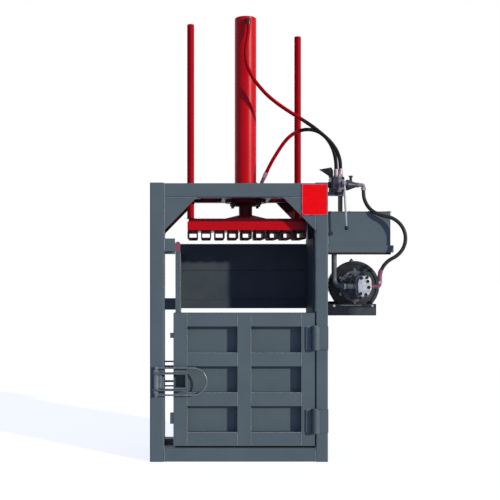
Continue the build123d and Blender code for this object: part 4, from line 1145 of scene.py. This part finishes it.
@dataclass(frozen=True)
class MotorAndPump:
    """Motor, pump and their shelf, in millimetres.

    Attributes:
        centre: X and Z of the shaft.
        shield: Front face of the motor's end shield.
        bolt_circle: Radius of the end shield's bolts.
        adapter_circle: Radius of the adapter's screws.
        casting: Corners of the pump's casting, X and Z.
        cover: Corners of the pump's cover plate.
        screws: Places of the cover's screws.
        back: Rear face of the casting.
        step: Face between the casting and the cover.
        front: Front face of the cover.
        inlet: Inlet boss of the pump.
        clamp: Clamp of the suction pipe.
        feet: Y of the front and rear foot bolts, and the height of their seats.
        stud: Lifting stud.
        ribs: Number of the adapter's ribs.
        rib: Shift, front radius and rear radius of those ribs.
        rib_ends: Front and rear end of those ribs.
        gland: Cable gland.
        lip: Lowest and highest corner of the shelf's lip.
        lip_screws: Places of the lip's screws.
        lip_highlight_bead: Ends of the light bead along the lip's top edge, a painted highlight.
        shield_shade_edge: Where the end shield's left half, black as painted shade, turns to its grey, metres.
        shelf_shadow_edge: Where the painted shadow on the shelf's left end ends, metres.
    """

    centre: Pair = (614.0, 983.0)
    shield: float = -150.0
    bolt_circle: float = 131.0
    adapter_circle: float = 92.0
    casting: tuple[Pair, ...] = (
        (599, 1018), (606, 1038), (624, 1044), (664, 1044), (682, 1038), (689, 1018),
        (689, 948), (682, 928), (664, 922), (624, 922), (606, 928), (599, 948),
    )
    cover: tuple[Pair, ...] = (
        (612, 998), (616, 1018), (624, 1036), (640, 1042), (664, 1043), (678, 1034), (686, 1014),
        (688, 970), (674, 940), (656, 929), (634, 926), (620, 936), (613, 958),
    )
    screws: tuple[Pair, ...] = ((631, 1030), (662, 1033), (667, 1012), (673, 979), (656, 938), (627, 943))
    back: float = -205.0
    step: float = -271.0
    front: float = -279.6
    inlet: Turned = Turned((603, -250, 983), (-1, 0, 0), ((0, 21), (9, 21), (11, 18.5)))
    clamp: Turned = Turned((536, -250, 983), (1, 0, 0), ((0, 16), (1, 17.6), (11, 17.6), (12, 16)))
    feet: Point = (-90.0, 60.0, 840.0)
    stud: Turned = Turned((598, -140, 1120), UP, ((0, 13), (8, 13), (11, 8), (19, 5)), 24)
    ribs: int = 8
    rib: Point = (15.0, 60.0, 82.0)
    rib_ends: Pair = (-203.0, -151.0)
    gland: Turned = Turned((756, 50, 961), (1, 0, 0), ((-1, 13), (9, 13), (11, 9), (20, 9), (22, 7)), 24)
    lip: tuple[Point, Point] = ((453.0, -205.6, 864.0), (727.4, -201.0, 883.4))
    lip_screws: tuple[Point, Point] = ((490.0, -205.6, 873.0), (706.0, -205.6, 873.0))
    lip_highlight_bead: tuple[Point, Point] = ((528.0, -205.2, 876.0), (646.0, -205.2, 876.0))
    shield_shade_edge: Pair = (0.590, 0.690)
    shelf_shadow_edge: Pair = (0.565, 0.625)

    def dress(self, shop: Workshop) -> None:
        """Paints the power unit and adds its pump, bolts and small fittings."""
        shop.wear(Coat.IRON, "motor_fan_cover motor_housing")
        shop.wear(Coat.CASTING, "pump_adapter")
        # The end shield's left half wears black iron as painted shade; its right half is the lit grey.
        shop.fade("motor_end_shield", Coat.IRON, Coat.SHIELD, Axis.X, self.shield_shade_edge)
        # The shelf's left end is painted dark as the shadow of the motor and pump.
        shop.fade("motor_shelf", Coat.OILED, Coat.SHELF, Axis.X, self.shelf_shadow_edge)
        shop.wear(Coat.OVERSPRAY, "pump_outlet_elbow")
        shop.wear(Coat.PIPE, "suction_pipe")
        self._pump(shop)
        self._motor(shop)
        self._shelf(shop)

    def _around(self, radius: float, count: int, first: float) -> list[Point]:
        """Places points round the shaft on the end shield.

        Args:
            radius: Radius of the circle.
            count: Number of points.
            first: Angle of the first point, degrees.

        Returns:
            The points, millimetres.
        """
        x, z = self.centre
        turns = (math.radians(first + 360 / count * step) for step in range(count))
        return [(x + radius * math.cos(t), self.shield, z + radius * math.sin(t)) for t in turns]

    def _pump(self, shop: Workshop) -> None:
        """Builds the pump's casting, cover plate, screws and clamp."""
        casting = Shape("pump_casting")
        casting.plate(self.casting, self.back, self.step, 4.0)
        casting.lathe(*self.inlet)
        shop.add(casting, Coat.CASTING, replaces=("pump_body",))
        cover = Shape("pump_cover")
        cover.plate(self.cover, self.step, self.front, 2.5)
        shop.add(cover, Coat.CAST)
        seats = [(x, self.front, z) for x, z in self.screws]
        shop.bolts.place("pump_screws", seats, FRONT, 4.4, 5.0, Coat.IRON, sides=20)
        clamp = Shape("suction_clamp")
        clamp.lathe(*self.clamp)
        shop.add(clamp, Coat.LATCH)

    def _motor(self, shop: Workshop) -> None:
        """Adds the motor's bolts, ribs, lifting stud and cable gland."""
        shop.bolts.place("shield_bolts", self._around(self.bolt_circle, 4, 45), FRONT, 5.5, 8, Coat.IRON)
        seats = self._around(self.adapter_circle, 6, 30)
        shop.bolts.place("adapter_screws", seats, FRONT, 4.5, 7, Coat.LATCH, sides=20)
        *rows, top = self.feet
        reach = self.adapter_circle
        feet = [(x, y, top) for x in (self.centre[0] - reach, self.centre[0] + reach) for y in rows]
        shop.bolts.place("foot_bolts", feet, UP, 5.5, 8, Coat.BRIGHT)
        iron = Shape("motor_ribs_and_stud")
        iron.lathe(*self.stud)
        shift, *radii = self.rib
        near, far = self.rib_ends
        rings = (self._around(radius, self.ribs, 180 / self.ribs) for radius in radii)
        for (front_x, _, front_z), (rear_x, _, rear_z) in zip(*rings):
            iron.tube([metres((front_x + shift, near, front_z)), metres((rear_x, far, rear_z))], 4.0)
        iron.lathe(*self.gland)
        shop.add(iron, Coat.CASTING)

    def _shelf(self, shop: Workshop) -> None:
        """Adds the shelf's dark lip with its screws and bead."""
        lip = Shape("shelf_lip")
        lip.block(*self.lip, 1.2)
        shop.add(lip, Coat.IRON)
        shop.bolts.place("lip_screws", self.lip_screws, FRONT, 3.6, 4, Coat.BRIGHT)
        # Light bead along the lip's top edge: painted highlight.
        bead = Shape("lip_highlight_bead")
        bead.weld(*self.lip_highlight_bead)
        shop.add(bead, Coat.LATCH)


@dataclass(frozen=True)
class LeverValve:
    """Hand valve with its bracket, lever, guard and relief valve, in millimetres.

    Attributes:
        corner: Lower left corner of the block's front.
        screws: Places of the block's screws from that corner.
        plug: Plug of the block.
        lever_top: Upper end of the lever's rod.
        lever_foot: Lower end of the lever's rod.
        lever: Radius of the lever's sleeve.
        bead: Ends of the bracket's bead.
        body_tone: Where the block turns from dark to speckled, metres.
        relief_tone: Where the relief valve does, metres.
    """

    corner: Point = (471.0, -222.0, 1514.0)
    screws: tuple[Pair, ...] = ((8, 8), (8, 78), (67, 8), (67, 78))
    plug: Turned = Turned((471, -172, 1558), (-1, 0, 0), ((-1, 17), (10, 17), (12, 15), (13, 9)), 28)
    lever_top: Point = (539.4, -262.0, 1540.0)
    lever_foot: Point = (550.4, -262.0, 1318.0)
    lever: float = 6.3
    bead: tuple[Point, Point] = ((454.0, -225.3, 1494.0), (538.0, -225.3, 1494.0))
    body_tone: Pair = (0.506, 0.516)
    relief_tone: Pair = (0.610, 0.630)

    def dress(self, shop: Workshop) -> None:
        """Paints the valve and adds its screws, plug, sleeve and bracket bead."""
        shop.wear(Coat.PLASTIC, "valve_guard")
        shop.wear(Coat.HANDLE, "valve_lever")
        shop.wear(Coat.IRON, "lever_knob")
        # The bracket's dark grey is painted shade.
        shop.wear(Coat.BRACKET, "valve_bracket")
        shop.fade("valve_body", Coat.VALVE, Coat.SPECKLED, Axis.X, self.body_tone)
        shop.fade("relief_valve", Coat.VALVE, Coat.SPECKLED, Axis.X, self.relief_tone)
        x, y, z = self.corner
        seats = [(x + dx, y, z + dz) for dx, dz in self.screws]
        shop.bolts.place("valve_screws", seats, FRONT, 3.2, 5, Coat.IRON, sides=20)
        plug = Shape("valve_plug")
        plug.lathe(*self.plug)
        shop.add(plug, Coat.IRON)
        sleeve = Shape("lever_sleeve")
        axis = Vector(self.lever_foot) - Vector(self.lever_top)
        end = axis.length
        profile = ((0, 4.2), (2, self.lever), (end * 0.55, self.lever), (end - 2, 5.2), (end, 4.0))
        sleeve.lathe(self.lever_top, tuple(axis), profile, 24)
        shop.add(sleeve, Coat.HANDLE, Body.LEVER)
        bead = Shape("bracket_bead")
        bead.weld(*self.bead, radius=1.8)
        shop.add(bead, Coat.SEAM)


@dataclass(frozen=True)
class OilTank:
    """Oil tank in its tray, in millimetres.

    Attributes:
        left: Inner end of the tray.
        ends: X of the tray's corner seams.
        tray: Lower and upper end of those seams.
        front: Y of those seams.
        depth: Half length of the bead at the inner end.
        lid: Top of the tank's lid.
        columns: X of the lid's screws.
        rows: Y of the lid's screws.
        suction: Place of the bead round the suction pipe.
        pipe: Radius of that bead's circle.
        edge: Foot and head of the light bead at the tank's corner, a painted highlight.
        lip: Lowest and highest corner of the black strip under the tray, a painted shadow.
    """

    left: float = 452.5
    ends: Pair = (457.0, 821.0)
    tray: Pair = (1176.0, 1212.0)
    front: float = -197.5
    depth: float = 198.0
    lid: float = 1406.0
    columns: tuple[float, ...] = (472.0, 580.0, 690.0, 800.0)
    rows: Pair = (-178.0, 178.0)
    suction: Point = (495.0, -171.0, 1173.5)
    pipe: float = 16.5
    edge: tuple[Point, Point] = ((460.0, -190.4, 1216.0), (460.0, -190.4, 1398.0))
    lip: tuple[Point, Point] = ((454.0, -197.6, 1162.0), (812.0, -188.5, 1175.0))

    def dress(self, shop: Workshop) -> None:
        """Paints the tank and adds its seams, lip and lid screws."""
        shop.wear(Coat.GREY, "oil_tank tank_lid tank_tray")
        shop.wear(Coat.PLASTIC, "filler_cap")
        seams = Shape("tank_seams")
        seams.weld(*((self.left, y, self.tray[0]) for y in (-self.depth, self.depth)), radius=2.2)
        for x in self.ends:
            seams.weld(*((x, self.front, z) for z in self.tray), radius=1.0)
        seams.arc_weld(self.suction, UP, self.pipe)
        # Light bead on the tank's left corner: painted highlight.
        seams.weld(*self.edge, radius=1.6)
        shop.add(seams, Coat.SEAM)
        # Black strip under the tray: painted shadow.
        lip = Shape("tray_lip_shadow")
        lip.block(*self.lip, 1.0)
        shop.add(lip, Coat.IRON)
        places = [(x, y, self.lid) for x in self.columns for y in self.rows]
        shop.bolts.place("lid_screws", places, UP, 2.6, 3, Coat.GREY)


@dataclass(frozen=True)
class HoseSet:
    """The hydraulic hoses.

    Attributes:
        lines: The hoses.
        fade: Half the length over which the overspray thins out, metres.
        port_tone: Where the ports' pink turns to dark red, metres.
    """

    lines: tuple[Hose, ...] = HOSES
    fade: float = 0.03
    port_tone: Pair = (1.9, 2.1)

    def dress(self, shop: Workshop) -> None:
        """Paints the ports and lays the hoses."""
        shop.fade("port_elbows", Coat.OVERSPRAY, Coat.MAROON, Axis.Z, self.port_tone)
        shop.fade("hose_ferrules", Coat.SPRAYED, Coat.MAROON, Axis.Z, self.port_tone)
        for hose in self.lines:
            self._lay(shop, hose)

    def _lay(self, shop: Workshop, hose: Hose) -> None:
        """Lays one hose along its route.

        Args:
            shop: The workshop.
            hose: The hose.
        """
        curve = bpy.data.curves.new(f"{hose.node}_line", "CURVE")
        curve.dimensions = "3D"
        curve.bevel_depth = HOSE_DIAMETER / 2
        curve.bevel_resolution = 8
        curve.resolution_u = 10
        curve.use_fill_caps = True
        spline = curve.splines.new("NURBS")
        spline.points.add(len(hose.route) - 1)
        for control, point in zip(spline.points, hose.route):
            control.co = (*metres(point), 1.0)
        spline.order_u = 3
        spline.use_endpoint_u = True
        material = shop.materials[Coat.RUBBER]
        if hose.red_until is not None:
            change = (hose.red_until - self.fade, hose.red_until + self.fade)
            material = shop.materials.two_tone(
                f"{hose.node}_rubber", Coat.ROD, Coat.RUBBER, Axis.X, change
            )
        curve.materials.append(material)
        piece = show(f"{hose.node}_line", curve)
        fit(piece, Body.FRAME, Slot.RUBBER, (hose.node,))
        metres(hose.route[0])
        LOG.info("%s: %.2f m", piece.name, hose.length)


@dataclass(frozen=True)
class HoseFittings:
    """Nuts, crimps and sleeve at the hoses' ends, in millimetres.

    Attributes:
        nuts: Foot of each nut that points up.
        nut: Profile of those nuts.
        collar_seat: Distance of a nut's collar from its foot.
        collar: Profile of that collar.
        top_nut: Nut that points down.
        crimps: First crimp at each ferrule, and the number of crimps there.
        pitch: Distance between two crimps.
        crimp: Radii of a crimp and of its bar.
        sleeve: Route of the pressure hose's sleeve.
        sleeve_radius: Radius of that sleeve.
    """

    nuts: tuple[Point, ...] = ((526.0, -201.0, 1600.0), (509.0, -152.0, 1600.0), (738.0, -250.0, 999.0))
    nut: Profile = ((0, 15.5), (12, 15.5), (13.5, 13.6))
    collar_seat: float = 13.0
    collar: Profile = ((0, 13.2), (2, 13.2))
    top_nut: Turned = Turned((660, -180, 1541.5), (0, 0, -1), ((0, 14.5), (11, 14.5), (12.5, 13)), 6)
    crimps: tuple[tuple[Point, int], ...] = (
        ((526.0, -201.0, 1616.0), 6), ((509.0, -152.0, 1616.0), 6), ((660.0, -180.0, 1528.0), 2),
    )
    pitch: float = 5.0
    crimp: Pair = (12.4, 0.8)
    sleeve: tuple[Point, ...] = (
        (738, -250, 1012), (738, -250, 1030), (739, -250.3, 1048), (742, -251, 1064), (746, -251.4, 1076),
    )
    sleeve_radius: float = 12.6

    def dress(self, shop: Workshop) -> None:
        """Adds the nuts, crimps and sleeve."""
        nuts, crimps, sleeve = Shape("hose_nuts"), Shape("hose_crimps"), Shape("pressure_sleeve")
        for x, y, z in self.nuts:
            nuts.lathe((x, y, z), UP, self.nut, 6)
            nuts.lathe((x, y, z + self.collar_seat), UP, self.collar, 28)
        nuts.lathe(*self.top_nut)
        for (x, y, z), count in self.crimps:
            for step in range(count):
                crimps.ring((x, y, z + self.pitch * step), UP, *self.crimp, 28)
        sleeve.tube([metres(p) for p in self.sleeve], self.sleeve_radius, ripple=0.03, sides=24)
        shop.add(nuts, Coat.SPRAYED)
        shop.add(crimps, Coat.SPRAYED)
        shop.add(sleeve, Coat.OVERSPRAY)


class Press:
    """The whole press."""

    def __init__(self, frame: dict) -> None:
        self.shop = Workshop(frame["nodes"])

    def dress(self) -> None:
        """Dresses every sub-assembly in order."""
        self.shop.wear(Coat.LATCH, "front_latch rear_latch latch_keepers hinge_pins")
        for part in (
            HoseSet(),
            WeldedFrame(),
            Chamber(),
            Door(Body.FRONT_DOOR, -1, 834.0),
            Door(Body.REAR_DOOR, 1, 809.0),
            BailLatch(Body.FRONT_LATCH, Body.FRONT_DOOR, -1, -510.0, 453.0),
            BailLatch(Body.REAR_LATCH, Body.REAR_DOOR, 1, -516.0, 433.0),
            Ram(),
            MotorAndPump(),
            LeverValve(),
            OilTank(),
            HoseFittings(),
        ):
            part.dress(self.shop)


def seen_rays(make: Nodes) -> bpy.types.NodeSocket:
    """Adds the rays that show the pale surroundings: the camera's own, glossy and transmitted ones.

    Args:
        make: Adds nodes to the floor's or the world's tree.

    Returns:
        A socket that is 1 for those rays and 0 for the others.
    """
    ray = make.add("ShaderNodeLightPath").outputs
    total = make.maths("ADD", ray["Is Camera Ray"], ray["Is Glossy Ray"], clamp=True)
    return make.maths("ADD", total, ray["Is Transmission Ray"], clamp=True)


@dataclass(frozen=True)
class Studio:
    """Floor, light and camera.

    Attributes:
        floor: Distance of the floor's edges from the middle, metres.
        floor_colour: Colour of the floor in the light that it sends on.
        floor_roughness: Roughness of the floor.
        floor_lift: Strength of the floor's own white for the rays that show it.
        key: Strength of the key light.
        key_angle: Width of the key light, degrees.
        key_colour: Colour of the key light, slightly warm.
        key_way: Direction in which it shines.
        ambient: Strength of the surroundings' light.
        ambient_colour: Its colour, bluish as in the shadows.
        lens: Focal length of the camera, millimetres.
        sensor: Width of its sensor, millimetres.
        shift: Its shift to the right and up.
        eye: Its place, metres.
        far: Its farthest view, metres.
    """

    floor: float = 40.0
    floor_colour: Point = (0.42, 0.43, 0.45)
    floor_roughness: float = 0.9
    floor_lift: float = 0.80
    key: float = 3.35
    key_angle: float = 2.2
    key_colour: Point = (1.0, 0.955, 0.865)
    key_way: Point = (-1.15, 1.0, -0.40)
    ambient: float = 0.66
    ambient_colour: Point = (0.39, 0.51, 1.0)
    lens: float = 63.4
    sensor: float = 36.0
    shift: Pair = (0.09, 0.03)
    eye: Point = (-0.238, -5.17, 1.103)
    far: float = 200.0

    def build(self) -> None:
        """Sets the whole stage up."""
        self._floor()
        self._light()
        self._camera()
        bpy.context.scene.view_settings.view_transform = "Standard"

    def _floor(self) -> None:
        """Lays the pale floor."""
        data = bpy.data.meshes.new("floor")
        ends = ((-1, -1), (1, -1), (1, 1), (-1, 1))
        data.from_pydata([(x * self.floor, y * self.floor, 0) for x, y in ends], [], [(0, 1, 2, 3)])
        material = bpy.data.materials.new("floor")
        material.use_nodes = True
        make = Nodes(material.node_tree)
        values = {
            "Base Color": (*self.floor_colour, 1.0),
            "Roughness": self.floor_roughness,
            "Specular IOR Level": 0.0,
            "Emission Color": WHITE,
            "Emission Strength": make.maths("MULTIPLY", seen_rays(make), self.floor_lift),
        }
        make.fill(material.node_tree.nodes["Principled BSDF"], values)
        data.materials.append(material)
        show("floor", data)

    def _light(self) -> None:
        """Hangs the key light at the upper right and the pale surroundings."""
        key = bpy.data.lights.new("key", "SUN")
        key.energy = self.key
        key.angle = math.radians(self.key_angle)
        key.color = self.key_colour
        lamp = show("key", key)
        lamp.rotation_mode = "QUATERNION"
        lamp.rotation_quaternion = Vector(self.key_way).to_track_quat("-Z", "Y")
        world = bpy.data.worlds.new("surroundings")
        bpy.context.scene.world = world
        world.use_nodes = True
        nodes, make = world.node_tree.nodes, Nodes(world.node_tree)
        ambient = nodes["Background"]
        make.fill(ambient, {"Color": (*self.ambient_colour, 1.0), "Strength": self.ambient})
        seen = make.add("ShaderNodeBackground", {"Color": WHITE, "Strength": 1.0})
        mix = make.add("ShaderNodeMixShader", {0: seen_rays(make), 1: ambient.outputs[0], 2: seen.outputs[0]})
        make.fill(nodes["World Output"], {"Surface": mix.outputs[0]})

    def _camera(self) -> None:
        """Sets the level camera in front of the press, framed off-centre."""
        data = bpy.data.cameras.new("camera")
        data.lens = self.lens
        data.sensor_width = self.sensor
        data.shift_x, data.shift_y = self.shift
        data.clip_end = self.far
        camera = show("camera", data)
        camera.location = self.eye
        camera.rotation_euler = (math.pi / 2, 0.0, 0.0)
        bpy.context.scene.camera = camera


def corners(box: tuple[Vector, Vector]) -> list[list[float]]:
    """Turns a box's lowest and highest corner into plain lists."""
    return [list(box[0]), list(box[1])]


def main() -> None:
    """Loads the frame, dresses the press and sets the stage."""
    logging.basicConfig(level=logging.INFO)
    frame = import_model()
    Press(frame).dress()
    Studio().build()
    bpy.context.view_layer.update()


if __name__ == "__main__":
    main()
